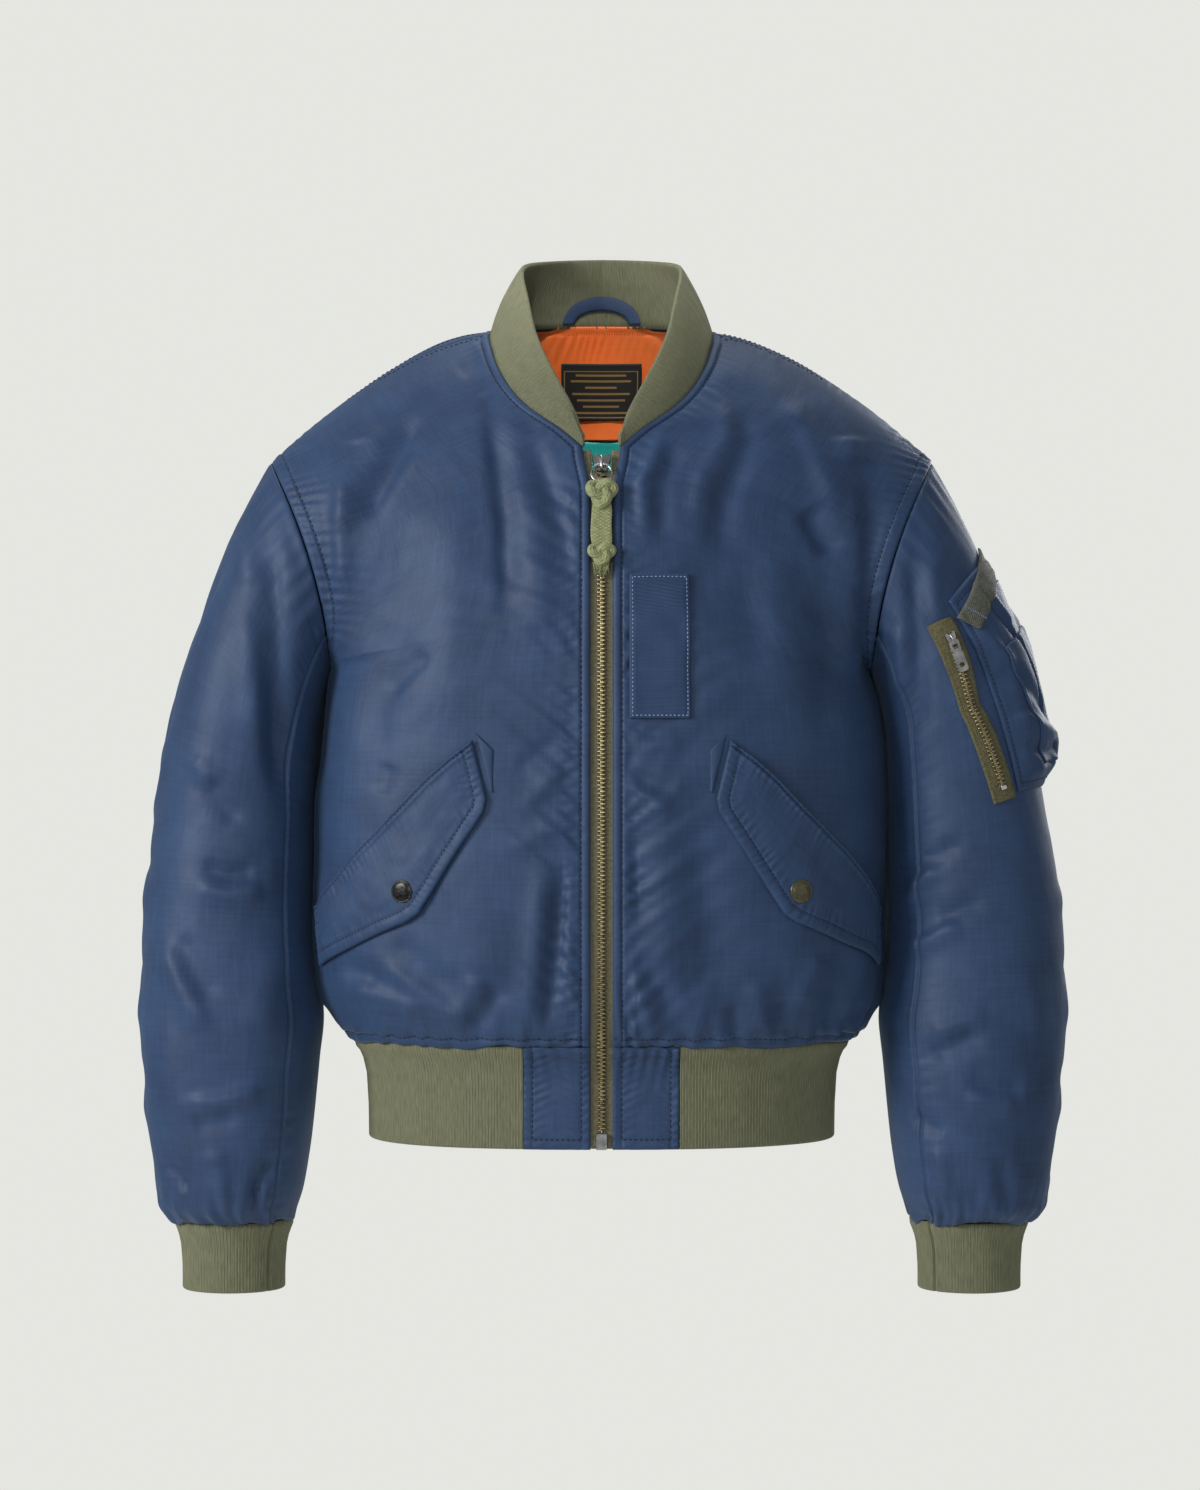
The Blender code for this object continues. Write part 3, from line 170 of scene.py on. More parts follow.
FLOOR_HEIGHT, FLOOR_RADIUS = -1.30, 1.5
floor_mesh = bpy.data.meshes.new("floor")
floor_mesh.from_pydata([(x, y, 0) for x, y in circle(FLOOR_RADIUS, 96)], [], [range(96)])
floor = set_up("floor", floor_mesh, (0, 0, FLOOR_HEIGHT))
floor.data.materials.append(finish("studio_paper", BACKDROP, 0.9)[0])
print("soft boxes:", len(SOFT_BOXES))

# %% [markdown]
# ## The form
# Cloth has no shape of its own: it takes the shape of its cut. The body is read here from level
# sections, the sleeve from tilted rings and the collar from its seam and its free edge. They are the
# same tables that the engineering model is built on, read at a much finer step.

# %% Tables of the form
ZIP_OPENING = 8.4            # from the centre to each front's zip edge
HEM_SEAM = -563.0
HEM_EDGE = -641.0
UNDERARM = -270.0
SLEEVE_END = -706.0
CUFF_EDGE = -760.0

Section = namedtuple("Section", "height half_width front back square")
BODY = (
    Section(HEM_SEAM, 196.8, 121, 125, 2.4), Section(-556, 206, 126, 132, 2.4),
    Section(-538, 216.5, 132, 139, 2.45), Section(-505, 222.5, 136, 141, 2.5),
    Section(-450, 225.5, 137, 141, 2.5), Section(-374, 225, 135, 140, 2.5),
    Section(-320, 222, 133, 140, 2.45), Section(-290, 218, 132, 140, 2.4),
    Section(UNDERARM, 214, 131, 140, 2.4),
)
WAISTBAND = (
    Section(HEM_EDGE, 185, 113, 117.5, 2.4), Section(-604, 186, 113.5, 118, 2.4),
    Section(-580, 189, 114.5, 119.5, 2.4), Section(-571, 193, 118, 122, 2.4),
    Section(-567, 196.3, 120.5, 124.5, 2.4), Section(HEM_SEAM, 196.3, 120.7, 124.7, 2.4),
)
CENTRE_LINE = {       # height, and how far the cloth stands off the middle plane
    FRONT: ((UNDERARM, 131), (-215, 127.5), (-165, 118), (-128, 107), (-99, 97)),
    BACK: ((UNDERARM, 140), (-190, 141), (-120, 136), (-60, 122), (-15, 103), (14, 92)),
}
Neck = namedtuple("Neck", "x y z edge_x edge_y edge_z")
NECK = (              # from the centre back to the zip: the seam, and the collar's free edge
    Neck(0, 92, 14, 0, 84, 70), Neck(30, 88, 13.5, 25, 79, 69), Neck(60, 70, 11, 47, 60, 65.5),
    Neck(80, 42, 7, 60, 34, 60.5), Neck(87, 18, 3, 64, 12, 55), Neck(89, 0, -1.5, 64.5, -5, 49),
    Neck(88.5, -14, -8, 63, -20, 39), Neck(86, -30, -17, 59.5, -38, 25),
    Neck(81, -50, -32, 53, -60, -3), Neck(70, -68, -51.5, 42.5, -77, -29),
    Neck(57, -80, -66, 31, -87, -51), Neck(44.5, -88, -75.5, 25, -92, -62),
    Neck(30, -93, -85.5, 19.5, -95.5, -74), Neck(14.3, -97, -99, 15, -98.5, -90),
)
NECK_POINT = 5               # the row where the shoulder seam meets the collar
ARMHOLE_TOP = (264.0, -104.0)
ARMHOLE_BOTTOM = (214.0, -270.0)
ARMHOLE_DEPTH = 78.0
ARMHOLE_HOLLOW = {FRONT: 12.0, BACK: 6.0}
Ring = namedtuple("Ring", "outer_x outer_z inner_x inner_z middle_y depth hollow square")
SLEEVE = (
    Ring(264, -104, 214, -270, 0, 78, 1.0, 2.0), Ring(283, -140, 218.5, -283, 0, 80, 0.5, 2.1),
    Ring(303, -184, 222, -298, 1, 82, 0.2, 2.2), Ring(321, -232, 224.7, -316, 2, 83, 0, 2.25),
    Ring(336, -283, 226.8, -338, 3, 83, 0, 2.3), Ring(345, -322, 227.6, -362, 4, 83, 0, 2.3),
    Ring(353, -372, 228, -394, 4, 83, 0, 2.3), Ring(361, -418, 228.4, -430, 3, 83, 0, 2.3),
    Ring(366, -465, 228.2, -470, 0, 82, 0, 2.3), Ring(368, -510, 226, -512, -5, 80, 0, 2.3),
    Ring(368, -545, 221.5, -546, -9, 78, 0, 2.3), Ring(366, -580, 224.5, -580, -13, 75, 0, 2.3),
    Ring(362.5, -620, 228, -620, -17, 70, 0, 2.3), Ring(357, -655, 232, -655, -20, 65, 0, 2.25),
    Ring(353, -682, 237, -682, -22, 60, 0, 2.2), Ring(349, -698, 242, -698, -23, 53, 0, 2.1),
    Ring(340, SLEEVE_END, 244, SLEEVE_END, -23, 43, 0, 2.1),
)
CUFF_CENTRE = (291.6, -23.0)
CUFF = (              # height, half width, half depth
    (CUFF_EDGE, 40.5, 36), (-735, 41, 36.5), (-720, 42.5, 38), (-714, 44.5, 40), (-709, 46.5, 41.5),
    (-706.3, 46.5, 41.5),
)

# %% Read the form


def smooth(knots, values, at):
    """Read a smooth curve, through a value at each knot, at one or many places."""
    knots = np.asarray(knots, float)
    values = np.asarray(values, float)
    slopes = np.gradient(values, knots, axis=0)
    first = np.clip(np.searchsorted(knots, at) - 1, 0, len(knots) - 2)
    step = knots[first + 1] - knots[first]
    t = (at - knots[first]) / step
    if values.ndim > 1 and np.ndim(t):
        t = t[..., None]
        step = step[..., None]
    start = (1 + 2 * t) * (1 - t) ** 2 * values[first] + t * (1 - t) ** 2 * step * slopes[first]
    end = t * t * (3 - 2 * t) * values[first + 1] + t * t * (t - 1) * step * slopes[first + 1]
    return start + end


def ease(t):
    """Rise smoothly from 0 to 1."""
    t = np.clip(t, 0, 1)
    return t * t * (3 - 2 * t)


def lengths(points):
    """Distance along a line of points, from its first one."""
    steps = np.linalg.norm(np.diff(points, axis=0), axis=1)
    return np.concatenate(([0], np.cumsum(steps)))


def between(values, knots, at):
    """Rows of values, read in straight lines between their knots."""
    return np.stack([np.interp(at, knots, column) for column in np.transpose(values)], axis=-1)


def along(points, distances):
    """Points at the given distances along a line of points."""
    return between(points, lengths(points), distances)


def spread(line, count):
    """Evenly spaced points along a line."""
    line = np.array(line, float)
    return along(line, np.linspace(0, lengths(line)[-1], count))


def unit(vectors):
    """Vectors, each made one long."""
    return vectors / np.maximum(np.linalg.norm(vectors, axis=-1, keepdims=True), 1e-9)


def zip_opening(height):
    """Half the width between the fronts' zip edges, which part in a V at the top."""
    top = NECK[-1]
    return ZIP_OPENING + (top.x - ZIP_OPENING) * ease((height - top.z + 38) / 38)


def upper_line(face):
    """The centre line from the underarm's height to the neck, then the neck seam to the shoulder."""
    rows = np.array(CENTRE_LINE[face], float)
    height = np.linspace(rows[0, 0], rows[-1, 0], 60)
    opening = zip_opening(height) if face == FRONT else np.zeros_like(height)
    centre = np.stack([opening, face * smooth(rows[:, 0], rows[:, 1], height), height], axis=1)
    knots = NECK[NECK_POINT:][::-1] if face == FRONT else NECK[:NECK_POINT + 1]
    seam = np.array([row[:3] for row in knots], float)
    run = lengths(seam)
    neck = smooth(run, seam, np.linspace(0, run[-1], 80))
    return np.concatenate((centre, neck[1:])), lengths(centre)[-1], centre


UPPER = {face: upper_line(face) for face in (FRONT, BACK)}
NECK_SHARE = {face: UPPER[face][1] / lengths(UPPER[face][0])[-1] for face in (FRONT, BACK)}


def section_row(table, face, height):
    """A level line of cloth from the centre to the side seam, at one height of a table of sections."""
    rows = np.array(table, float)
    half_width, front, back, square = smooth(rows[:, 0], rows[:, 1:], height)
    opening = ZIP_OPENING if face == FRONT else 0
    angle = np.linspace(0, math.pi / 2, 200)
    x = opening + (half_width - opening) * np.sin(angle) ** (2 / square)
    y = face * (front if face == FRONT else back) * np.cos(angle) ** (2 / square)
    return np.stack([x, y, np.full_like(x, height)], axis=1)


def body_row(face, v):
    """A line of cloth from the centre to the side: v is 0 at the hem, 1 at the underarm, 2 at the top."""
    if v <= 1:
        return section_row(BODY, face, HEM_SEAM + (UNDERARM - HEM_SEAM) * v)
    share = v - 1
    start = along(UPPER[face][0], share * lengths(UPPER[face][0])[-1])
    turn = math.pi * (1 - share)
    top, bottom = np.array(ARMHOLE_TOP), np.array(ARMHOLE_BOTTOM)
    end_x, end_z = (top + bottom) / 2 + (top - bottom) / 2 * math.cos(turn)
    end = (end_x - ARMHOLE_HOLLOW[face] * math.sin(turn) ** 2, face * ARMHOLE_DEPTH * math.sin(turn), end_z)
    angle = np.linspace(0, math.pi / 2, 200)
    out = np.sin(angle) ** (2 / BODY[-1].square)
    rounded = np.cos(angle) ** (2 / BODY[-1].square)
    fall = rounded + (1 - out ** 2.2 - rounded) * ease(share / 0.4)
    fullness = {FRONT: 4.0, BACK: 7.0}[face] * math.sin(math.pi * share) * np.sin(math.pi * out ** 1.3)
    x = start[0] + (end[0] - start[0]) * out
    y = end[1] + (start[1] - end[1]) * fall + face * fullness
    z = start[2] + (end[2] - start[2]) * out ** (1 + 0.6 * share)
    return np.stack([x, y, z], axis=1)


def row_at(height):
    """The v of a front's rows that start at these heights on the centre line."""
    height = np.asarray(height, float)
    line, _, centre = UPPER[FRONT]
    above = 1 + np.interp(height, centre[:, 2], lengths(centre)) / lengths(line)[-1]
    return np.where(height <= UNDERARM, (height - HEM_SEAM) / (UNDERARM - HEM_SEAM), above)


rings = np.array(SLEEVE, float)
ring_centres = np.stack([rings[:, 0] + rings[:, 2], rings[:, 4] * 2, rings[:, 1] + rings[:, 3]], axis=1) / 2
SLEEVE_LENGTH = lengths(ring_centres)[-1]
SLEEVE_KNOTS = lengths(ring_centres) / SLEEVE_LENGTH


def sleeve_row(angle, share):
    """One ring of a left sleeve: angle runs from the outer side over the front, share down to the cuff."""
    outer_x, outer_z, inner_x, inner_z, middle, depth, hollow, square = smooth(SLEEVE_KNOTS, rings, share)
    cosine, sine = np.cos(angle), np.sin(angle)
    side_way = np.sign(cosine) * np.abs(cosine) ** (2 / square)
    deep = np.sign(sine) * np.abs(sine) ** (2 / square)
    in_hollow = hollow * np.where(sine > 0, ARMHOLE_HOLLOW[FRONT], ARMHOLE_HOLLOW[BACK]) * sine ** 2
    x = (outer_x + inner_x) / 2 + (outer_x - inner_x) / 2 * side_way - in_hollow
    z = (outer_z + inner_z) / 2 + (outer_z - inner_z) / 2 * side_way
    return np.stack([x, middle - depth * deep, z], axis=1)


print("sleeve: %.0f mm from armhole to cuff" % SLEEVE_LENGTH)

# %% [markdown]
# ## Fabrics
# A fabric looks like itself through three things: the tone that its weave gives up close, the sheen of
# its yarn, and the bump of the weave. Each fabric below reads a map called cloth_mm, laid on every
# piece in real millimetres, so that a weave keeps its true size wherever it is used.

# %% Fabric tools


def cloth_map(tree, across=1.0, down=1.0, turn=0.0):
    """The piece's own millimetres, stretched across or down and turned."""
    place = add(tree, "UVMap", uv_map="cloth_mm")
    return add(tree, "Mapping", {"Vector": place},
               {"Scale": (across, down, 1), "Rotation": (0, 0, turn)})


def tone(tree, shader, factor, dark, light, low=0.35, high=0.65):
    """Colour a fabric between two tones by a pattern."""
    ramp = add(tree, "ValToRGB", {"Fac": factor})
    ramp.color_ramp.elements[0].position = low
    ramp.color_ramp.elements[0].color = linear(dark)
    ramp.color_ramp.elements[1].position = high
    ramp.color_ramp.elements[1].color = linear(light)
    tree.links.new(ramp.outputs["Color"], shader.inputs["Base Color"])


def relief(tree, shader, layers):
    """Stack bumps on a fabric: pairs of a pattern and its height in millimetres."""
    before = None
    for pattern, height in layers:
        bump = add(tree, "Bump", {"Height": pattern}, {"Strength": 1.0, "Distance": height * MM})
        if before:
            tree.links.new(before.outputs["Normal"], bump.inputs["Normal"])
        before = bump
    tree.links.new(before.outputs["Normal"], shader.inputs["Normal"])


WAVE_PERIOD = 0.314          # of Blender's banded wave at scale 1; its diagonal bands are 0.444 apart


def lines(tree, place, pitch, direction="X"):
    """Parallel ridges, pitch millimetres apart."""
    return add(tree, "TexWave", {"Vector": place}, {"Scale": WAVE_PERIOD / pitch, "Detail": 1.0},
               bands_direction=direction)


def cloud(tree, place, size, detail=3.0):
    """Soft unevenness, about size millimetres across."""
    return add(tree, "TexNoise", {"Vector": place}, {"Scale": 1 / size, "Detail": detail, "Roughness": 0.55})


# %% [markdown]
# **Nylon.** The shell is a tight flight satin of bright filament yarn. Its surface is smooth, so it has a
# broad blue-white sheen, and it crinkles finely when it is worn. Its yarns are 0.2 mm apart, too fine to
# show, so the streaks of uneven warp and weft are drawn 2.4 mm apart.

# %% Navy nylon, orange lining and teal band


def nylon(name, dark, light, crinkle=0.22, roughness=0.56, sheen="#A9C4DC"):
    """Satin nylon: fine threads both ways, with soft creases that break its sheen."""
    made, tree, shader = finish(name, light, roughness, Sheen_Weight=0.12, Sheen_Roughness=0.5,
                                Sheen_Tint=linear(sheen), Specular_IOR_Level=0.32, IOR=1.53)
    flat = cloth_map(tree)
    warp = cloud(tree, cloth_map(tree, 1.0, 0.05), 2.4, 2.0)
    weft = cloud(tree, cloth_map(tree, 0.05, 1.0), 2.4, 2.0)
    crossed = add(tree, "Math", {0: warp, 1: weft}, operation="ADD")
    patchy = add(tree, "Math", {0: cloud(tree, flat, 55, 5.0)}, {1: 0.25}, operation="MULTIPLY")
    mixed = add(tree, "Math", {0: crossed, 2: patchy}, {1: 0.11}, operation="MULTIPLY_ADD")
    tone(tree, shader, mixed, dark, light, 0.15, 0.32)
    creases = add(tree, "TexNoise", {"Vector": cloth_map(tree, 1.3, 0.8, 0.25)},
                  {"Scale": 1 / 46, "Detail": 3.0, "Roughness": 0.45, "Distortion": 0.6},
                  noise_type="RIDGED_MULTIFRACTAL")
    relief(tree, shader, [
        (creases, crinkle * 2.4), (cloud(tree, cloth_map(tree, 1.4, 0.8), 15, 4.0), crinkle * 2.2),
        (cloud(tree, flat, 4.0), crinkle * 0.5), (warp, 0.022), (weft, 0.022)])
    return made


navy = nylon("navy_flight_satin", "#1F3150", "#2F496D")
patch_satin = nylon("navy_ribbed_faille", "#1F3253", "#2E4669", 0.1)
orange = nylon("orange_lining_satin", "#F96A26", "#FF8340", 0.3, 0.5, "#FFC79A")
teal = nylon("teal_lining_satin", "#1B948B", "#2FB3A7", 0.2, 0.4, "#C8F0EC")

# %% [markdown]
# **Rib knit.** Wool-rich rib is matt and a little furry, and its wales stand in fine upright lines.
# **Tape and webbing.** Woven cotton and nylon, matt, in a small herringbone.

# %% Knit, tapes, cord and threads


def rib(name, dark, light):
    """Rib knit, with its wales running up the net."""
    made, tree, shader = finish(name, light, 0.92, Sheen_Weight=0.25, Sheen_Roughness=0.6,
                                Sheen_Tint=linear("#C9CBA8"), Specular_IOR_Level=0.25)
    flat = cloth_map(tree)
    drawn = cloud(tree, cloth_map(tree, 0.12, 1.0), 1.3, 3.0)
    fuzz = cloud(tree, flat, 1.5, 4.0)
    mixed = add(tree, "Math", {0: cloud(tree, flat, 16, 5.0), 2: drawn}, {1: 0.3}, operation="MULTIPLY_ADD")
    tone(tree, shader, mixed, dark, light, 0.42, 0.88)
    relief(tree, shader, [(lines(tree, flat, 1.3, "Y"), 0.2), (drawn, 0.14), (fuzz, 0.25)])
    return made


olive = rib("olive_wool_rib", "#5F6049", "#777860")


def woven(name, dark, light, pitch, height, roughness=0.85):
    """Woven tape or thread, with its lines so many millimetres apart."""
    made, tree, shader = finish(name, light, roughness, Specular_IOR_Level=0.3, Sheen_Weight=0.1)
    flat = cloth_map(tree)
    tone(tree, shader, cloud(tree, flat, 2.5, 5.0), dark, light, 0.3, 0.7)
    relief(tree, shader, [(lines(tree, cloth_map(tree, turn=0.8), pitch), height),
                          (lines(tree, cloth_map(tree, turn=-0.8), pitch), height),
                          (cloud(tree, flat, 0.9), height)])
    return made


khaki = woven("khaki_zip_tape", "#625E4A", "#7E7962", 1.3, 0.12)
sleeve_khaki = woven("olive_zip_tape", "#514C33", "#6E694B", 1.3, 0.2)
webbing = woven("grey_nylon_webbing", "#4C4D43", "#62645A", 1.6, 0.18, 0.7)
sage = woven("sage_cotton_braid", "#7E8458", "#A2A67C", 1.9, 0.3, 0.95)
# The navy thread's tones are darker than the navy cloth's: the difference is painted shade for the shadow
# along the stitch rows.
navy_thread_with_painted_shade = woven("navy_polyester_thread_with_painted_shade", "#101A2F", "#1C2A47", 0.6, 0.05, 0.6)
pale_thread = woven("pale_blue_thread", "#7C93B8", "#A2B6D4", 0.6, 0.05, 0.5)
orange_thread = woven("orange_polyester_thread", "#C24E12", "#E87C3A", 0.6, 0.05, 0.5)
olive_thread = woven("olive_polyester_thread", "#4A4E36", "#666A4C", 0.6, 0.05, 0.6)

# %% [markdown]
# **Metal.** The teeth are brass with a brushed, slightly dulled face; sliders are nickel-plated zinc; the
# snap caps are lacquered brass, one nearly black and one a dull olive.

# %% Metals


def metal(name, dark, light, roughness, metallic=1.0, grain=2.0):
    """Plated metal, a little spotted."""
    made, tree, shader = finish(name, light, roughness, Metallic=metallic)
    place = add(tree, "TexCoord").outputs["Object"]
    spots = add(tree, "TexNoise", {"Vector": place}, {"Scale": 1000 / grain, "Detail": 4.0})
    tone(tree, shader, spots, dark, light, 0.3, 0.7)
    uneven = add(tree, "MapRange", {"Value": spots}, {"To Min": roughness - 0.08, "To Max": roughness + 0.12})
    tree.links.new(uneven.outputs[0], shader.inputs["Roughness"])
    return made


brass = metal("dulled_brass", "#7E7252", "#BBAE87", 0.38)
nickel = metal("nickel_plated_zinc", "#A3A29D", "#CFCEC9", 0.27, grain=7.0)
gunmetal = metal("black_lacquered_brass", "#161616", "#3A3A39", 0.3, 0.8)
olive_cap = metal("olive_lacquered_brass", "#45432F", "#6A6650", 0.36, 0.75)

# %% [markdown]
# **The neck label** is black damask with a thin gold border and plain woven bars, and no words. Its
# pattern is drawn with arithmetic on the label's own millimetres.

# %% Label cloth
LABEL_WIDTH, LABEL_HEIGHT = 66.0, 45.0
LABEL_BARS = (               # distance from the foot, and length
    (6.5, 46), (12, 30), (17.5, 40), (23, 48), (28.5, 26), (34, 50), (39, 42))


def damask(name):
    """The label's black damask, with a thin gold border and plain woven bars."""
    made, tree, shader = finish(name, "#15110E", 0.62, Sheen_Weight=0.1)
    split = add(tree, "SeparateXYZ", {"Vector": cloth_map(tree)})

    def sum_of(operation, first, second):
        """One step of arithmetic on two sockets or numbers."""
        links = {i: part for i, part in enumerate((first, second)) if not isinstance(part, (int, float))}
        values = {i: part for i, part in enumerate((first, second)) if isinstance(part, (int, float))}
        return add(tree, "Math", links, values, operation=operation)

    across = sum_of("ABSOLUTE", sum_of("SUBTRACT", split.outputs["X"], LABEL_WIDTH / 2), 0.0)
    up = split.outputs["Y"]
    from_side = sum_of("SUBTRACT", LABEL_WIDTH / 2, across)
    from_end = sum_of("MINIMUM", up, sum_of("SUBTRACT", LABEL_HEIGHT, up))
    inset = sum_of("MINIMUM", from_side, from_end)
    gold = sum_of("LESS_THAN", sum_of("ABSOLUTE", sum_of("SUBTRACT", inset, 2.6), 0.0), 0.4)
    for height, length in LABEL_BARS:
        level = sum_of("LESS_THAN", sum_of("ABSOLUTE", sum_of("SUBTRACT", up, height), 0.0), 0.9)
        reach = sum_of("LESS_THAN", across, length / 2)
        gold = sum_of("MAXIMUM", gold, sum_of("MULTIPLY", level, reach))
    mixed = add(tree, "Mix", {"Factor": gold}, data_type="RGBA")
    mixed.inputs[6].default_value = linear("#15110E")
    mixed.inputs[7].default_value = linear("#8A6E3C")
    tree.links.new(mixed.outputs[2], shader.inputs["Base Color"])
    relief(tree, shader, [(lines(tree, cloth_map(tree), 0.9, "Y"), 0.06),
                          (cloud(tree, cloth_map(tree), 9), 0.3)])
    return made


label_cloth = damask("black_damask")

# %% [markdown]
# ## From a net of points to a piece
# Every cloth piece starts as a net: rows of points on its outer face. The net is turned into a mesh with
# its real millimetres as a UV map, and Blender's Solidify modifier gives the wall its thickness.

# %% Nets and meshes
pieces = {}


def strips(points, around=True, closed=False, row=0, column=0):
    """A net's faces, and their corners in millimetres along one of its rows and one of its columns."""
    rows, columns = points.shape[:2]
    across = lengths(np.concatenate((points[row], points[row][:1])))
    up = lengths(np.concatenate((points[:, column], points[:1, column])))
    r, c = np.indices((rows - (not closed), columns - (not around))).reshape(2, -1)
    corners = ((r, c), (r, c + 1), (r + 1, c + 1), (r + 1, c))
    faces = np.stack([a % rows * columns + b % columns for a, b in corners], axis=1)
    return faces, np.stack([np.stack((across[b], up[a]), axis=1) for a, b in corners], axis=1)


def end_faces(rows, columns):
    """The faces that close a net's first and last rows."""
    return [list(range(columns))[::-1], list(range((rows - 1) * columns, rows * columns))]


def rework(mesh, change):
    """Change a mesh with one of bmesh's tools."""
    shape = bmesh.new()
    shape.from_mesh(mesh)
    change(shape)
    shape.to_mesh(mesh)
    shape.free()


def smooth_mesh(name, points, faces, flat=None, sharp=0):
    """A mesh from millimetres. Where sharp is given, in degrees, its faces are turned outwards too."""
    mesh = bpy.data.meshes.new(name)
    mesh.from_pydata((np.reshape(points, (-1, 3)) * MM).tolist(), [], faces)
    if flat is not None:
        mesh.uv_layers.new(name="cloth_mm").data.foreach_set("uv", flat)
    if sharp:
        rework(mesh, lambda shape: bmesh.ops.recalc_face_normals(shape, faces=shape.faces))
    mesh.shade_smooth()
    if sharp:
        mesh.set_sharp_from_angle(angle=math.radians(sharp))
    return mesh


def piece(name, mesh, cloth, node=None, wall=0.0, body="jacket"):
    """Put a mesh in the scene as a piece of the jacket that stands for a node of the model."""
    made = set_up(name, mesh, (0, 0, 0))
    mesh.materials.append(cloth)
    if wall:
        thick = made.modifiers.new("wall", "SOLIDIFY")
        thick.thickness = wall * MM
        thick.offset = -1
    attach(made, body)
    if node:
        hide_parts(node)
    pieces[name] = made
    return made


def net(name, node, grid, cloth, turn=1, side=LEFT, wall=0.0, around=False, closed=False, caps=False,
        halves=False):
    """Make a piece from a net. turn is 1 where columns and rows already turn outwards; around joins each
    row's ends, closed joins the first row to the last, and caps fills the first and last rows. A piece
    in two halves leaves out the faces between them and is welded where both reach the middle plane.
    """
    points = np.array(grid, float) * (side, 1, 1)
    rows, columns = points.shape[:2]
    faces, flat = strips(points, around, closed, rows // 2, columns // 2)
    if halves:
        kept = faces[:, 0] % columns != columns // 2 - 1
        faces, flat = faces[kept], flat[kept]
    order = turn * side
    faces, flat = faces[:, ::order].tolist(), flat[:, ::order].ravel()
    if caps:
        faces += [end[::order] for end in end_faces(rows, columns)]
        flat = np.concatenate((flat, np.zeros(4 * columns)))
    mesh = smooth_mesh(name, points, faces, flat)
    if halves:
        rework(mesh, lambda shape: bmesh.ops.remove_doubles(
            shape, verts=[vert for vert in shape.verts if abs(vert.co.x) < 1e-6], dist=1e-6))
    print("%s: %d x %d points" % (name, rows, columns))
    return piece(name, mesh, cloth, node, wall)


def facing(points, turn=1, around=False):
    """The outward directions of a net."""
    if around:
        across = np.roll(points, -1, axis=1) - np.roll(points, 1, axis=1)
    else:
        across = np.gradient(points, axis=1)
    return unit(np.cross(across, np.gradient(points, axis=0)) * turn)


class Cloth:
    """A net that other pieces can be laid on: rows by level, columns by distance or angle. shares says
    where the columns are, as shares of the way from each row's start to its end.
    """

    def __init__(self, points, levels, starts, ends, shares, turn, around=False):
        self.points, self.levels, self.starts, self.ends = points, levels, starts, ends
        self.shares, self.turn, self.around = shares, turn, around
        self.out = facing(points, turn, around)

    def raised(self, rise, up=0.0):
        """The same cloth, pushed out along its normals and then up."""
        points = self.points + self.out * rise[..., None]
        points[..., 2] += up
        return Cloth(points, self.levels, self.starts, self.ends, self.shares, self.turn, self.around)

    def at(self, across, level, lift=0.0):
        """Points over the cloth and the way out of it; all three may be arrays."""
        across, level = np.broadcast_arrays(np.asarray(across, float), np.asarray(level, float))
        rows, columns = self.points.shape[:2]
        row = np.interp(level, self.levels, np.arange(rows))
        start, end = (np.interp(level, self.levels, bound) for bound in (self.starts, self.ends))
        share = (across - start) / (end - start)
        share = share % 1.0 if self.around else np.clip(share, 0, 1)
        last = len(self.shares) - 1
        column = np.minimum(np.interp(share, self.shares, np.arange(last + 1)), last - 0.0001)
        r = np.clip(np.floor(row).astype(int), 0, rows - 2)
        c = np.floor(column).astype(int)
        t, s = (row - r)[..., None], (column - c)[..., None]
        beside = (c + 1) % columns

        def read(values):
            low = values[r, c] * (1 - s) + values[r, beside] * s
            high = values[r + 1, c] * (1 - s) + values[r + 1, beside] * s
            return low * (1 - t) + high * t

        normal = unit(read(self.out))
        return read(self.points) + normal * np.asarray(lift)[..., None], normal


# %% [markdown]
# ## How cloth folds
# Folds come from somewhere: from a seam that is shorter than the cloth sewn to it, or from slack that has
# to go over a turn. Each main fold is listed as a soft ridge or trough with one side steeper than
# the other. Seams get puckers, short waves that die out within a few centimetres, and a little seeded
# noise stands for the slack that no one placed.

# %% Folds, puckers and slack


def apart(x, z, path):
    """Distance from places to a line, which side of it they are on, and how far along it they are."""
    path = np.array(path, float)
    run = lengths(path)
    best, side, share = np.full(np.shape(x), 1e9), np.ones(np.shape(x)), np.zeros(np.shape(x))
    for (x0, z0), (x1, z1), start, end in zip(path, path[1:], run, run[1:]):
        way_x, way_z = x1 - x0, z1 - z0
        t = np.clip(((x - x0) * way_x + (z - z0) * way_z) / (way_x ** 2 + way_z ** 2), 0, 1)
        off_x, off_z = x - x0 - t * way_x, z - z0 - t * way_z
        distance = np.hypot(off_x, off_z)
        nearer = distance < best
        best = np.where(nearer, distance, best)
        side = np.where(nearer, np.sign(way_x * off_z - way_z * off_x), side)
        share = np.where(nearer, (start + t * (end - start)) / run[-1], share)
    return best, side, share


def ridge(distance, height, width):
    """A rounded ridge at a distance from its middle line, or a groove where height is below 0."""
    return height * np.exp(-(distance / width) ** 2)


def folded(x, z, folds):
    """How far the listed folds lift the cloth: (path, width, rise, lean), where lean steepens one side."""
    rise = np.zeros(np.shape(x))
    for path, width, height, *lean in folds:
        distance, side, share = apart(x, z, path)
        fade = ease(share / 0.22) * ease((1 - share) / 0.22) * 0.85 + 0.15
        rise += ridge(distance, height * fade, width * (1 + sum(lean) * side))
    return rise


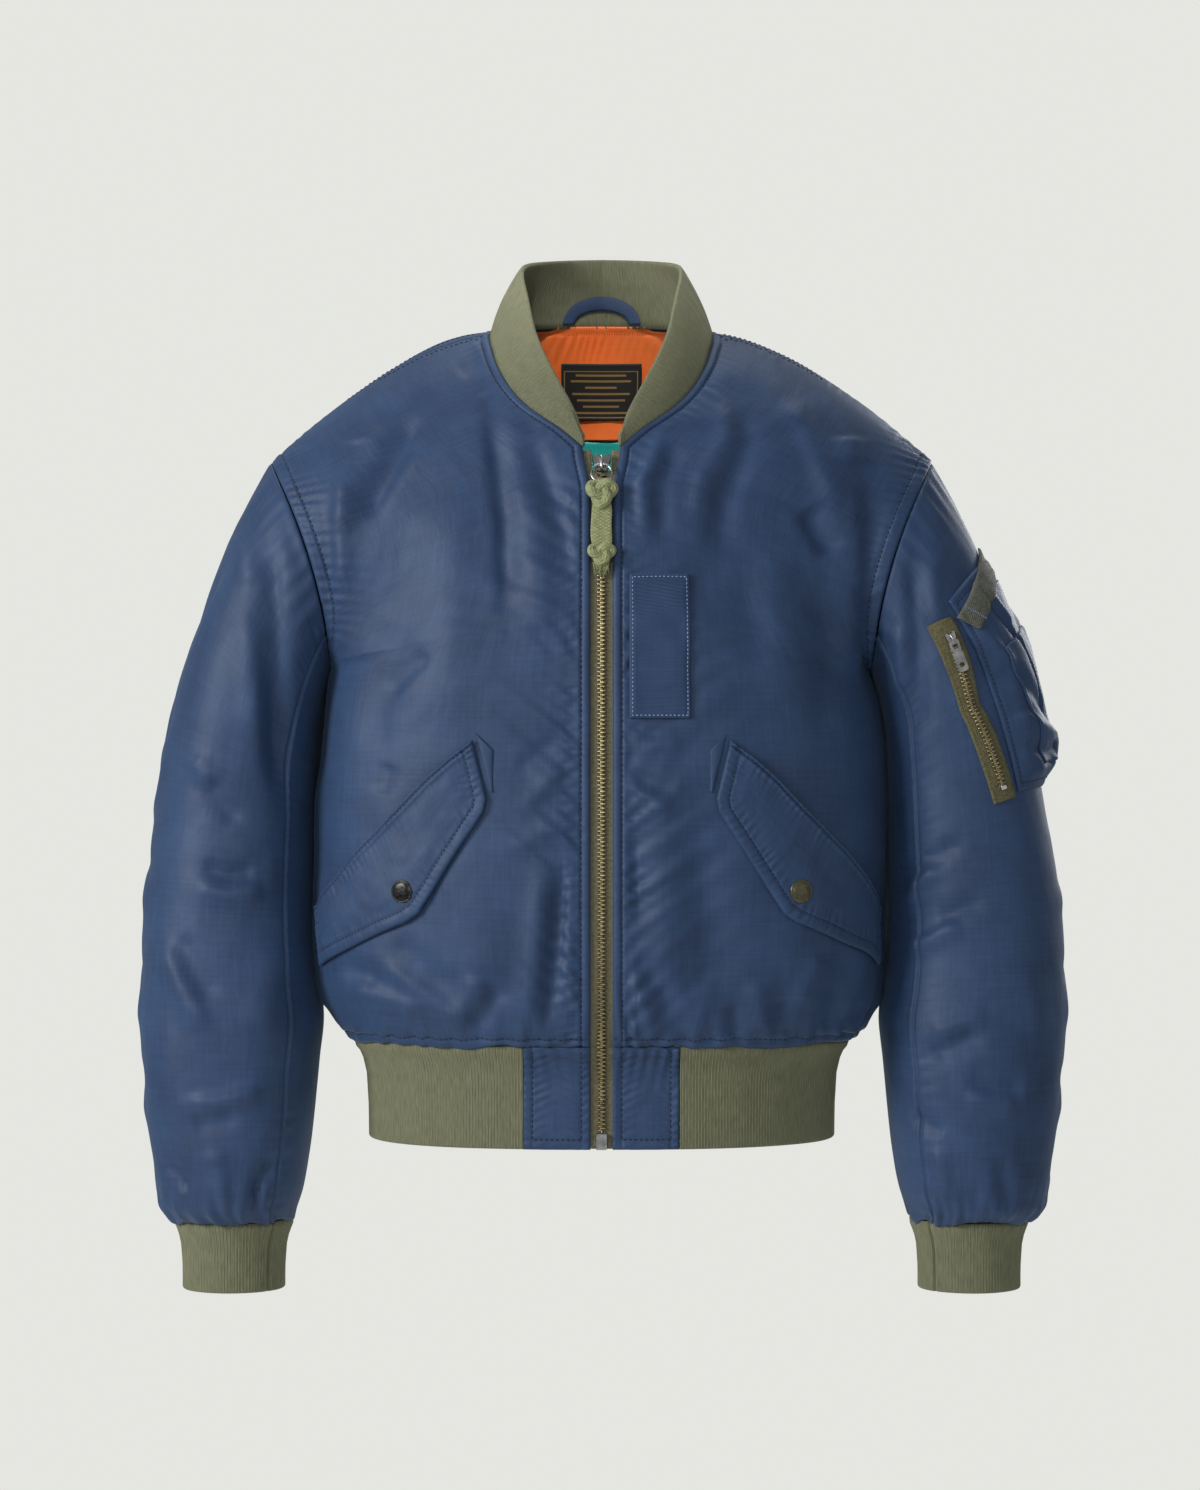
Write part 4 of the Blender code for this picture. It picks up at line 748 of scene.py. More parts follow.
def mottle(x, z, size, seed, tall=1.0, turn=0.0):
    """Seeded soft unevenness between -1 and 1, tall times as long as it is wide."""
    lattice = np.random.default_rng(seed).uniform(-1, 1, (64, 64))
    u = (x * math.cos(turn) + z * math.sin(turn)) / size
    w = (z * math.cos(turn) - x * math.sin(turn)) / (size * tall)
    i, j = np.floor(u).astype(int), np.floor(w).astype(int)
    s, t = ease(u - i), ease(w - j)
    i, j = i % 64, j % 64
    a, b = (i + 1) % 64, (j + 1) % 64
    low = lattice[i, j] * (1 - s) + lattice[a, j] * s
    high = lattice[i, b] * (1 - s) + lattice[a, b] * s
    return low * (1 - t) + high * t


def puckers(run, distance, height, reach, period, seed, slant=0.3):
    """Short waves that start at a seam: run is the way along it, distance the way from it."""
    shift = 2.2 * mottle(run, 0, period * 3.1, seed) + slant * distance / period * 2
    wave = np.sin(2 * math.pi * run / period + 2 * shift)
    uneven = 0.55 + 0.6 * mottle(run, 7, period * 1.7, seed + 1)
    near = distance / reach
    return height * wave * uneven * near * np.exp(1 - near) * (distance > 0)


def seam_roll(distance, depth=1.5, reach=1.6):
    """An edge that turns down into its seam."""
    return ridge(np.maximum(distance, 0), -depth, reach)


def slack(x, z, seed, amount=1.0):
    """The unevenness left over between the folds."""
    return amount * (1.1 * mottle(x, z, 62, seed, 1.8, 0.3) + 0.45 * mottle(x, z, 27, seed + 1, 1.6, -0.5)
                     + 0.16 * mottle(x, z, 11, seed + 2, 1.4, 0.8))


# %% [markdown]
# ## The fronts and the back
# A padded shell hangs in big soft folds that run down from the shoulder and gather over the waistband.
# The net of each panel is pushed out along its normal by its folds. First come the folds alone, which
# give the calm surface that flaps and patches lie on, and then the puckers, stitched grooves and edges.

# %% The body's net
SHELL = 1.6
PLACKET_STITCH = 7.2         # from the zip edge, and from the neck seam
ARMHOLE_STITCH = 10.5        # from the armhole seam
HEM_STITCH = 7.0             # above the waistband's seam


def uneven(*spans):
    """Places from 0 to 1 in spans of (end, count), so that they can lie closer together near a seam."""
    places = [0.0]
    for end, count in spans:
        places += list(np.linspace(places[-1], end, count + 1)[1:])
    return np.array(places)


def body_net(face, below, above, shares):
    """The bare form of a front or of the back's left half."""
    levels = np.concatenate((0.0003 + 0.9997 * uneven((0.055, 14), (1, below)),
                             1 + 0.9985 * uneven((0.9, above), (1, 12))[1:]))
    points, starts, ends = [], [], []
    for v in levels:
        row = body_row(face, v)
        in_neck = v > 1 + NECK_SHARE[face]
        starts.append(0.1 if in_neck else 0.15 if face == FRONT else 0.0)
        ends.append(lengths(row)[-1] - (0.15 if v <= 1 else 0.4))
        points.append(along(row, starts[-1] + (ends[-1] - starts[-1]) * shares))
    points = np.array(points)
    window = points[below + 1:below + 28]
    off_side = ease((1 - shares) / 0.1)[None, :, None]
    for _ in range(70):          # round off the turn from the level rows to the slanted ones
        window[1:-1] += ((window[:-2] + 2 * window[1:-1] + window[2:]) / 4 - window[1:-1]) * off_side
    return Cloth(points, levels, np.array(starts), np.array(ends), shares, -face)


def panel_places(form):
    """For every point of a net: distance across, distance from each edge, and the way along them."""
    across = form.starts[:, None] + (form.ends - form.starts)[:, None] * form.shares
    to_side = form.ends[:, None] - across
    runs = np.stack([lengths(column) for column in form.points.transpose(1, 0, 2)], axis=1)
    up, side_run = runs[:, :1] + 0 * across, runs[:, -1:] + 0 * across
    above_hem = np.where(form.levels[:, None] < 1.4, form.points[..., 2] - HEM_SEAM, 999)
    return across, to_side, up, side_run, above_hem, runs[-1] - runs


# %% Folds of the two fronts
# Paths run down the cloth in x and height, then come width, rise and lean.
FOLDS_RIGHT_FRONT = (
    (((143, -68), (160, -105), (186, -158)), 13, -4.2, 0.3),
    (((92, -52), (84, -96), (76, -160), (74, -235)), 9, -3.0, -0.35),
    (((118, -120), (116, -200), (122, -330)), 26, 2.6, 0.2),
    (((55, -88), (38, -140), (22, -200)), 9, -2.2, 0.2), (((66, -112), (52, -170), (44, -250)), 13, 1.9),
    (((170, -75), (192, -130), (200, -170)), 13, 2.4), (((191, -90), (190, -112)), 12, -1.8),
    (((114, -38), (92, -20)), 8, -1.6), (((201, -112), (202, -160), (200, -214)), 8, 2.2),
    (((212, -150), (214, -196), (222, -265), (224, -380)), 9, -2.4, 0.2),
    (((150, -235), (170, -292), (176, -340)), 16, -1.8, 0.2), (((130, -258), (166, -292)), 8, -1.6, 0.2),
    (((163, -344), (171, -368)), 8, -1.4), (((60, -378), (28, -344)), 7, 1.5),
    (((66, -352), (30, -320)), 7, -1.2), (((70, -410), (24, -384)), 8, 1.3, 0.2),
    (((30, -418), (34, -480), (42, -552)), 7, -3.6, 0.25), (((44, -420), (50, -490), (56, -548)), 10, 2.6),
    (((22, -470), (20, -530)), 6, 1.4), (((76, -512), (96, -548)), 8, -2.6),
    (((92, -505), (112, -546)), 9, 2.2), (((172, -494), (136, -520), (100, -546)), 8, 2.2, 0.3),
    (((160, -478), (112, -520)), 9, -1.3), (((196, -516), (160, -526), (132, -536)), 8, 2.4, 0.2),
    (((204, -500), (170, -512)), 8, -1.6), (((120, -400), (90, -470), (84, -520)), 24, 1.6),
    (((210, -420), (216, -500), (212, -540)), 12, 2.2),
)
FOLDS_LEFT_FRONT = (
    (((88, -58), (98, -90), (78, -123), (70, -160)), 11, 2.6, 0.3),
    (((104, -62), (112, -96), (94, -140), (92, -190)), 10, -2.2),
    (((48, -86), (30, -128), (33, -168)), 7, 2.2, 0.3), (((60, -96), (46, -132), (46, -176)), 8, -1.9),
    (((138, -60), (156, -83), (186, -150)), 12, 3.0, 0.25), (((156, -146), (180, -186)), 11, -3.8, 0.2),
    (((194, -88), (196, -112)), 13, 1.8),
    (((204, -104), (209, -150), (210, -190), (212, -300)), 11, -3.4, 0.3),
    (((124, -170), (140, -240), (136, -300)), 20, 2.0, 0.2), (((110, -200), (118, -262)), 12, -1.4),
    (((170, -210), (176, -270), (170, -330)), 14, -1.8), (((190, -200), (196, -280)), 12, 1.8),
    (((18, -360), (36, -372), (54, -386)), 6, 1.6, 0.2), (((20, -350), (56, -368)), 6, -1.3),
    (((20, -334), (62, -326)), 7, 1.4), (((44, -330), (50, -420), (46, -520)), 18, 2.4, 0.1),
    (((24, -396), (30, -470)), 8, -1.5), (((74, -400), (82, -470), (80, -530)), 16, -1.9, 0.1),
    (((18, -500), (36, -538), (33, -556)), 6, 2.2, 0.3), (((28, -486), (48, -520), (52, -550)), 7, -1.9),
    (((102, -526), (100, -556)), 8, -2.2), (((118, -510), (122, -552)), 9, 2.1),
    (((138, -522), (140, -556)), 7, -2.0), (((168, -490), (150, -530)), 10, 1.9, 0.2),
    (((180, -512), (178, -552)), 8, -2.2), (((198, -480), (204, -540)), 10, 2.2),
    (((214, -330), (222, -420), (222, -500)), 12, -1.8),
)


def hem_gathers(across, above_hem, width, seed):
    """Gathers over the waistband: uneven waves that fade upwards, each leaning its own way."""
    draws = np.random.default_rng(seed)
    rise = np.zeros(np.shape(across))
    place = 14.0
    while place < width - 10:
        lean, reach = draws.uniform(-0.5, 0.5), draws.uniform(16, 48)
        broad, height = draws.uniform(4.0, 7.5), draws.uniform(0.8, 2.3)
        off = across - place - lean * above_hem
        rise += (ridge(off, height, broad) - ridge(off - broad * 1.7, 0.6 * height, broad)) * ridge(
            above_hem, 1, reach)
        place += draws.uniform(15, 30)
    return rise


def beside_sleeve(height):
    """1 where the body and a sleeve hang side by side, and 0 below, where there is a gap between them."""
    return ease((height + 545) / 15) * ease((-258 - height) / 22)


def scallop(run, above_hem, size, seed, middle=1.5):
    """How far a gathered edge wanders up and down its seam."""
    return (3.0 * mottle(run, 0, size, seed) - middle) * ridge(np.maximum(above_hem, 0), 1, 6)


def front_nets(folds, seed):
    """The calm surface of a front, and its finished net."""
    form = body_net(FRONT, 106, 102, uneven((0.075, 22), (0.95, 66), (1, 15)))
    across, to_side, up, side_run, above_hem, to_top = panel_places(form)
    x, y, z = np.moveaxis(form.points, 2, 0)
    level = form.levels[:, None]
    above = level > 1
    past_hem = np.maximum(above_hem, 0)
    off_placket = across - PLACKET_STITCH
    below_neck = ease((1 + NECK_SHARE[FRONT] - level) / 0.08)
    inside = ease(off_placket / 12) * ease(to_side / 20) * ease(to_top / 20)
    calm = form.raised((1.7 * folded(x, z, folds) * ease(above_hem / 6) + 1.1 * slack(x, z, seed)) * inside)
    fine = hem_gathers(across, past_hem, across.max(), seed) * ease(above_hem / 5) * inside
    fine += puckers(up, off_placket, 1.1, 6, 9, seed, 0.6) * ease(to_top / 12)
    fine += puckers(up + 5, off_placket, 1.15, 13, 16, seed + 3, -1.3) * below_neck
    fine += puckers(up + 9, off_placket, 1.0, 26, 31, seed + 13, -1.2) * below_neck
    fine += np.where(above, puckers(side_run, to_side, 1.3, 9, 9, seed + 5, 0.7)
                     + ridge(to_side - ARMHOLE_STITCH, -1.0, 1.0),
                     puckers(side_run, to_side, 0.5, 6, 12, seed + 6))
    fine += puckers(x * 1.2, to_top, 0.8, 6, 10, seed + 7, 0.4) * ease((x - 30) / 20)
    fine += puckers(x, past_hem + 0.01, 1.1, 10, 11, seed + 8)
    fine += slack(x, z, seed + 20, 0.4) * ease(off_placket / 8)
    fine *= 1 - 0.8 * under_flap(across, height_of(level) + 0 * across)
    fine += puckers(height_of(level) - across, across - 1, 0.45, 3, 7, seed + 11, 0.9)
    fine += ridge(off_placket, -1.4, 0.9) + ridge(across - 3.6, 0.6, 2.4)
    fine += ridge(above_hem - HEM_STITCH, -1.2, 1.0) + ridge(above_hem - 3.6, 0.8, 1.8)
    fine += seam_roll(across, 1.0, 1.1) + seam_roll(to_side, 0.9, 1.2) + seam_roll(to_top, 0.9, 1.2)
    fine += seam_roll(above_hem, 1.8, 1.8) + ridge(y + 22, 3.4, 12) * beside_sleeve(z)
    edge = scallop(across, above_hem, 23, seed + 9) * ease((off_placket - 44) / 10) * ease(to_side / 10)
    return calm, calm.raised(fine, edge)


# %% [markdown]
# What is sewn on holds the cloth under it flat, so the puckers fade out there. The same outlines place
# the flaps and the chest patch later on.

# %% Outlines of what is sewn on the fronts
FLAP_UPPER = ((243, -459), (230, -449), (216, -437), (203, -425), (190, -413), (171, -397),
              (160, -387), (149, -377), (129, -357), (109, -340), (90, -326))
FLAP_LOWER = ((237, -503), (222, -497), (206, -491), (190, -485), (166, -475), (143, -466),
              (132, -459), (119, -440), (100, -410), (81, -381), (79, -371))
PATCH = ((12.6, -197), (60.5, -185), (60.0, -310), (12.6, -310))


def inside_outline(across, height, outline):
    """1 inside a closed outline of places and 0 outside it."""
    outline = np.array(outline, float)
    inside = np.zeros(np.shape(across), bool)
    for (x0, z0), (x1, z1) in zip(outline, np.roll(outline, -1, axis=0)):
        crosses = (z0 > height) != (z1 > height)
        slope = (x1 - x0) * (height - z0) / (z1 - z0 if z1 != z0 else 1e-9) + x0
        inside ^= crosses & (across < slope)
    return inside


def edge_distance(across, height, outline):
    """How far places are inside a closed outline."""
    distance = apart(across, height, (*outline, outline[0]))[0]
    return np.where(inside_outline(across, height, outline), distance, -distance)


def height_of(level):
    """The height on the front's centre line where a row starts."""
    heights = np.linspace(HEM_SEAM, -100, 400)
    return np.interp(level, row_at(heights), heights)


FLAP = FLAP_UPPER + FLAP_LOWER[::-1]


def under_flap(across, height):
    """1 where a front is covered by a flap."""
    return ease((edge_distance(across, height, FLAP) + 4) / 6)


# %% Make the fronts
calm, front = {}, {}
for (side, word), folds, seed in zip(SIDES, (FOLDS_RIGHT_FRONT, FOLDS_LEFT_FRONT), (11, 47)):
    calm[side], front[side] = front_nets(folds, seed)
    net("front_%s_shell" % word, "front_panel_" + word, front[side].points, navy, 1, side, SHELL)

# %% Folds of the back, and its net
FOLDS_BACK = (
    (((70, -40), (110, -120), (150, -230)), 20, 2.6, 0.2),
    (((120, -60), (165, -140), (190, -230)), 16, -2.4, 0.2), (((20, -80), (34, -200), (28, -300)), 22, -1.8),
    (((60, -260), (90, -360), (84, -460)), 24, 2.4), (((140, -250), (150, -360), (130, -480)), 20, -2.0, 0.2),
    (((180, -240), (196, -330)), 16, 2.2), (((30, -430), (52, -500), (60, -555)), 10, 2.6, 0.2),
    (((80, -470), (96, -555)), 9, -2.4), (((130, -430), (120, -500), (118, -555)), 12, 2.6, 0.2),
    (((170, -470), (160, -552)), 10, -2.2), (((200, -420), (206, -540)), 12, 2.2),
)


def back_net():
    """The back, both halves, with folds that differ a little from side to side."""
    form = body_net(BACK, 62, 66, uneven((0.95, 66), (1, 12)))
    across, to_side, _, side_run, above_hem, to_top = panel_places(form)
    x, _, z = np.moveaxis(form.points, 2, 0)
    off_centre = ease(x / 30)
    at_neck = ease((z + 150) / 50) * ease((100 - x) / 30)
    above = form.levels[:, None] > 1
    halves = {}
    for side, seed in ((RIGHT, 71), (LEFT, 83)):
        lean = 14 * (side < 0)
        rise = 2.2 * folded(x + lean, z + lean, FOLDS_BACK) * off_centre + 1.9 * slack(x * side, z, 83)
        rise *= ease(to_top / 20) * (1 - 0.75 * at_neck)
        rise += hem_gathers(across, np.maximum(above_hem, 0), across.max(), seed) * off_centre
        rise *= ease(to_side / 18) * ease(above_hem / 6)
        rise += np.where(above, puckers(side_run, to_side, 0.9, 8, 10, seed)
                         + ridge(to_side - ARMHOLE_STITCH, -0.8, 1.0),
                         puckers(side_run, to_side, 0.35, 6, 12, seed))
        rise += ridge(above_hem - HEM_STITCH, -1.0, 1.2) + seam_roll(above_hem, 1.8, 1.8)
        rise += seam_roll(to_side, 0.9, 1.2) + seam_roll(to_top, 0.9, 1.2)
        halves[side] = form.raised(rise, scallop(x * side, above_hem, 23, 72) * ease(to_side / 10))
        halves[side].points[form.starts == 0, 0, 0] = 0
    reaches_middle = form.starts == 0
    middle = (halves[RIGHT].points[reaches_middle, 0] + halves[LEFT].points[reaches_middle, 0]) / 2
    for half in halves.values():
        half.points[reaches_middle, 0] = middle
    return form, halves


back_form, back = back_net()
points = np.concatenate((back[RIGHT].points[:, ::-1] * (-1, 1, 1), back[LEFT].points), axis=1)
net("back_shell", "back_panel", points, navy, -1, LEFT, SHELL, halves=True)

# %% [markdown]
# ## Sleeves
# A sleeve hangs from the armhole and has slack at the elbow, where it creases across, and over the cuff,
# where the knit draws it in. Its net has a row for every ring. Folds on its front and its back are placed
# in x and height as they are seen from that side.

# %% Sleeve folds
FOLDS_SLEEVE = {
    RIGHT: {FRONT: (
        (((258, -170), (251, -254), (248, -373)), 9, -3.6, 0.2), (((268, -215), (250, -373)), 8, -1.8),
        (((270, -225), (270, -330)), 11, 2.6), (((283, -160), (272, -208)), 10, 2.2),
        (((243, -158), (230, -190)), 6, -2.0), (((306, -352), (294, -374), (280, -392)), 8, -2.4, 0.3),
        (((318, -340), (300, -362)), 9, 2.0), (((312, -424), (292, -430), (268, -426)), 8, -2.4, 0.3),
        (((316, -438), (290, -446), (262, -442)), 9, 2.4),
        (((342, -480), (326, -515), (304, -552)), 9, 2.6, 0.3), (((330, -476), (300, -530)), 9, -1.8),
        (((324, -608), (296, -606), (262, -596)), 8, 2.6, 0.3), (((320, -624), (280, -618)), 8, -2.2),
        (((340, -652), (322, -678)), 6, -2.4), (((256, -650), (271, -684)), 5, -3.0),
        (((250, -480), (268, -560)), 14, 1.8), (((300, -640), (294, -690)), 8, 2.0),
    ), BACK: (
        (((300, -250), (262, -380)), 14, -2.4, 0.2), (((320, -400), (270, -430)), 10, 2.6, 0.2),
        (((330, -450), (262, -476)), 9, -2.4, 0.2), (((330, -520), (262, -500)), 10, 2.4),
        (((335, -580), (262, -600)), 9, 2.4, 0.3), (((320, -640), (270, -660)), 8, -2.2),
    )},
    LEFT: {FRONT: (
        (((233, -236), (237, -290)), 6, 2.2), (((240, -176), (246, -250), (244, -330)), 9, -2.8, 0.2),
        (((256, -180), (258, -240)), 8, 2.0), (((262, -418), (248, -440), (230, -462)), 7, 2.6, 0.3),
        (((278, -404), (252, -426)), 7, -2.0), (((280, -466), (258, -480), (238, -490)), 7, 2.4, 0.3),
        (((296, -450), (262, -466)), 8, -1.9), (((294, -550), (274, -562), (254, -570)), 8, -2.8, 0.2),
        (((300, -538), (256, -556)), 9, 2.2), (((282, -588), (306, -596), (330, -598)), 8, -2.2, 0.2),
        (((280, -602), (326, -612)), 8, 2.0), (((242, -618), (266, -632)), 7, -2.2),
        (((330, -500), (340, -560)), 12, 1.8), (((262, -640), (268, -690)), 7, 2.2),
        (((310, -650), (316, -692)), 7, -2.0),
    ), BACK: (
        (((290, -240), (262, -370)), 14, -2.4, 0.2), (((322, -410), (270, -436)), 10, 2.6, 0.2),
        (((330, -470), (264, -486)), 9, -2.2, 0.2), (((334, -540), (262, -520)), 10, 2.4),
        (((332, -600), (266, -612)), 9, 2.2, 0.3), (((322, -650), (272, -664)), 8, -2.2),
    )},
}
FOLDS_OUTER = (              # on the outer side, in y and height as seen from there
    (((-46, -180), (-16, -260), (-8, -350)), 13, -3.2, 0.2),
    (((34, -200), (16, -290), (-4, -370)), 15, 3.0, 0.2),
    (((-52, -300), (-20, -372), (24, -396)), 10, 1.4, 0.2),
    (((-54, -436), (-10, -424), (46, -440)), 9, -1.3, 0.25),
    (((-50, -456), (0, -450), (52, -474)), 12, 1.2, 0.2), (((-48, -516), (-8, -500), (34, -508)), 9, -1.0),
    (((-50, -536), (24, -556)), 13, 1.2, 0.2), (((-46, -588), (-6, -600), (26, -590)), 8, -1.3, 0.2),
    (((-44, -612), (18, -634)), 11, 1.0), (((-36, -660), (10, -672)), 7, -1.0),
)
BELOW_POCKET = -432.0        # the left sleeve's outer side is held flat by its pocket above this height
FOREARM_SEAM = 132.0         # degrees round the sleeve
GIRTH = 430


def sleeve_nets(side, seed):
    """The calm surface of a sleeve, and its finished net."""
    shares = np.concatenate(([0.0008], 0.004 + 0.995 * uneven((0.03, 8), (0.97, 142), (1, 12))))
    at_seam = FOREARM_SEAM / 360
    turns = uneven((at_seam - 0.018, 52), (at_seam + 0.018, 15), (1, 66))
    angle = 2 * math.pi * turns[:-1]
    base = np.array([sleeve_row(angle, share) for share in shares])
    form = Cloth(base, shares, shares * 0, shares * 0 + 360, turns, 1, True)
    x, y, z = np.moveaxis(base, 2, 0)
    on_front_side = ease((np.sin(angle) + 0.25) / 0.5)
    girth = np.degrees(angle) / 360 * GIRTH + 0 * x
    off_seam = (np.degrees(angle) - FOREARM_SEAM) / 360 * GIRTH + 0 * x
    from_top = (shares * SLEEVE_LENGTH)[:, None] + 0 * x
    above_cuff = SLEEVE_LENGTH - from_top
    free = 1 - 0.85 * ease((-np.cos(angle) - 0.72) / 0.2)
    on_outer_side = ease((np.cos(angle) - 0.3) / 0.4) * (ease((BELOW_POCKET - z) / 16) if side == LEFT else 1)
    rise = folded(x, z, FOLDS_SLEEVE[side][FRONT]) * on_front_side
    rise += folded(x, z, FOLDS_SLEEVE[side][BACK]) * (1 - on_front_side)
    rise = 1.7 * (rise + 0.9 * folded(y, z, FOLDS_OUTER) * on_outer_side) + 1.3 * slack(girth, from_top, seed)
    calm = form.raised(rise * free * ease(from_top / 26) * ease(above_cuff / 10))
    fine = hem_gathers(girth, above_cuff, GIRTH, seed) * ease(above_cuff / 5) * free
    fine += puckers(girth, above_cuff, 1.2, 9, 12, seed + 2) + puckers(girth, from_top, 0.9, 9, 13, seed + 3)
    fine += slack(girth, from_top, seed + 30, 0.45)
    fine += ridge(off_seam, -1.7, 1.2) + puckers(from_top, np.abs(off_seam), 0.6, 6, 11, seed + 4)
    fine += ridge(off_seam - 3.2, 0.5, 1.6) + seam_roll(from_top, 0.9, 1.2) + seam_roll(above_cuff, 2.0, 2.0)
    fine += ridge(y - 26, 2.6, 12) * ease((250 - x) / 10) * beside_sleeve(z)
    return calm, calm.raised(fine, scallop(girth, above_cuff, 19, seed + 5, 1.0))


sleeve_calm = {}
for (side, word), seed in zip(SIDES, (131, 157)):
    sleeve_calm[side], finished = sleeve_nets(side, seed)
    net("sleeve_%s_shell" % word, "sleeve_" + word, finished.points, navy, 1, side, SHELL, around=True)

# %% [markdown]
# ## Knitted ribs
# The collar, the waistband and the cuffs are doubled knit, folded at their free edge, so each is a soft
# tube of cloth with a rounded edge. The wales are real ridges in the mesh, 2.6 mm apart.

# %% Collar, waistband and cuffs
WALE = 2.6
RIB = 4.0
ROUND_EDGE = np.linspace(0, math.pi, 7)


def doubled(outer, outward, upward):
    """Sections of doubled knit: up the outer face, round the fold and down the inner face."""
    radius = RIB / 2
    fold_at = outer[-1] - outward[-1] * radius
    turned = [fold_at + outward[-1] * radius * math.cos(a) + upward * radius * math.sin(a)
              for a in ROUND_EDGE]
    inner = outer[::-1] - outward[::-1] * RIB
    return np.concatenate((outer[:-1], turned, inner[1:])).transpose(1, 0, 2)


def wales(run, height=0.20):
    """Ridges of knit along a run of millimetres."""
    return height * np.cos(2 * math.pi * run / WALE)


neck_table = np.array(NECK, float)
NECK_RUN = lengths(neck_table[:, :3])


def collar_at(run):
    """The neck seam at distances from the middle of the back, the way to the free edge, and the way out."""
    rows = smooth(NECK_RUN, neck_table, np.abs(run))
    rows[:, [0, 3]] *= np.where(run < 0, -1, 1)[:, None]
    return rows[:, :3], rows[:, 3:] - rows[:, :3], unit(rows[:, :3] * (1, 1, 0))


def collar_net(columns=780):
    """The collar's sections from the zip on the right, round the back, to the zip on the left."""
    run = np.linspace(-0.9985, 0.9985, columns) * NECK_RUN[-1]
    seam, reach, outward = collar_at(run)
    height = np.linalg.norm(reach, axis=1)[:, None]
    up = reach / height
    rises = np.linspace(0, 1, 10)[:, None, None]
    bulge = 3.0 * np.sin(math.pi * rises) * height / 56
    outer = seam - up * 0.6 + (reach + up * 0.6) * rises + outward * bulge
    out = facing(outer, -1)
    soft = 0.5 * mottle(run, 0, 34, 5)[:, None] * height / 56
    line = outer + out * (wales(run)[:, None] + soft * np.sin(math.pi * rises))
    line[-1] -= up * np.minimum(RIB / 2, height * 0.2)
    return doubled(line, out, up)


net("collar_knit", "collar_rib", collar_net(), olive, -1, around=True, caps=True)


def waist_net(first, last, step, heights):
    """The waistband's outer face between two distances from the zip, and its outward directions."""
    grid = []
    for height in heights:
        front_half, back_half = (section_row(WAISTBAND, face, height) for face in (FRONT, BACK))
        line = np.concatenate((front_half, back_half[-2::-1]))
        end = last or lengths(line)[-1]
        count = len(grid[0]) if grid else int((end - first) / step) + 1
        grid.append(along(line, np.linspace(first, end, count)))
    return np.array(grid), facing(np.array(grid), -1)


TAB_WIDTH = 51.9
WAIST_HEIGHTS = np.concatenate((np.linspace(HEM_SEAM + 1.5, -572, 4), np.linspace(-578, HEM_EDGE + 2, 6)))
WAIST_STEP = 0.65
outer, out = (np.concatenate((half, half[:, -2::-1] * (-1, 1, 1)), axis=1)
              for half in waist_net(TAB_WIDTH + 0.3, None, WAIST_STEP, WAIST_HEIGHTS))
run = np.arange(outer.shape[1]) * WAIST_STEP
ripple = wales(run) + 0.7 * mottle(run, 0, 48, 9)
down = np.array((0, 0, -1.0))
net("waistband_knit", "hem_rib", doubled(outer + out * ripple[:, None], out, down), olive, 1, around=True,
    caps=True)

CUFF_GIRTH = WALE * 103
CUFF_SEAM = 222 / 360 * CUFF_GIRTH     # where its ends are joined, in front near its inner side


def cuff_net(seed):
    """A cuff's sections round the wrist."""
    table = np.array(CUFF, float)
    height = np.concatenate((np.linspace(-704.5, -718, 4), np.linspace(-725, CUFF_EDGE + 2, 5)))[:, None]
    half_size = smooth(table[:, 0], table[:, 1:], height[:, 0])[:, None]
    out = circle(1, 412)
    run = np.linspace(0, CUFF_GIRTH, 412, endpoint=False)
    reach = wales(run) + 0.5 * mottle(run, height, 30, seed) + ridge(run - CUFF_SEAM, -2.6, 1.3)
    outer = np.dstack((CUFF_CENTRE + (half_size + reach[..., None]) * out, height + 0 * reach))
    return doubled(outer, np.dstack((out + 0 * outer[..., :2], 0 * reach)), down)


for (side, word), seed in zip(SIDES, (3, 4)):
    net("cuff_%s_knit" % word, "cuff_" + word, cuff_net(seed), olive, 1, side, around=True, closed=True)

# %% [markdown]
# ## Waistband tabs, flaps, welts and the chest patch
# These are cut shapes with turned edges. Turning an edge makes it thick and round, and the topstitching
# 9 mm inside it pulls a groove, so the rim between the two stands up like a cord.

# %% Sewn-on cloth


def on_front(side, across, height, lift):
    """Points over a front's calm surface, by distance from the zip edge and by height."""
    return calm[side].at(across, row_at(height), lift)


def laid(name, node, at, upper, lower, rows, columns, lift, cloth, wall, side=LEFT):
    """Lay a shape on a cloth that is read by at, between an upper and a lower line of places. lift is a
    function of the places and of their shares across and down.
    """
    down_share = np.linspace(0, 1, rows)[:, None] + np.zeros(columns)
    across_share = np.zeros((rows, 1)) + np.linspace(0, 1, columns)
    places = (spread(upper, columns) * (1 - down_share[..., None])
              + spread(lower, columns) * down_share[..., None])
    across, level = places[..., 0], places[..., 1]
    points, normal = at(across, level, lift(across, level, across_share, down_share))
    face = np.cross(points[0, 1] - points[0, 0], points[1, 0] - points[0, 0])
    return net(name, node, points, cloth, 1 if np.dot(face, normal[0, 0]) > 0 else -1, side, wall)


def rim(depth, thickness, width=2.4):
    """A rounded edge: how high the cloth stands by its distance from its edge."""
    t = np.clip(depth / width, 0, 1)
    return thickness * np.sqrt(1 - (1 - t) ** 2)


FLAP_STITCH = 9.0            # inside the flap's free edges
PIPING = 3.0                 # from the upper edge to the stitches beside its cord


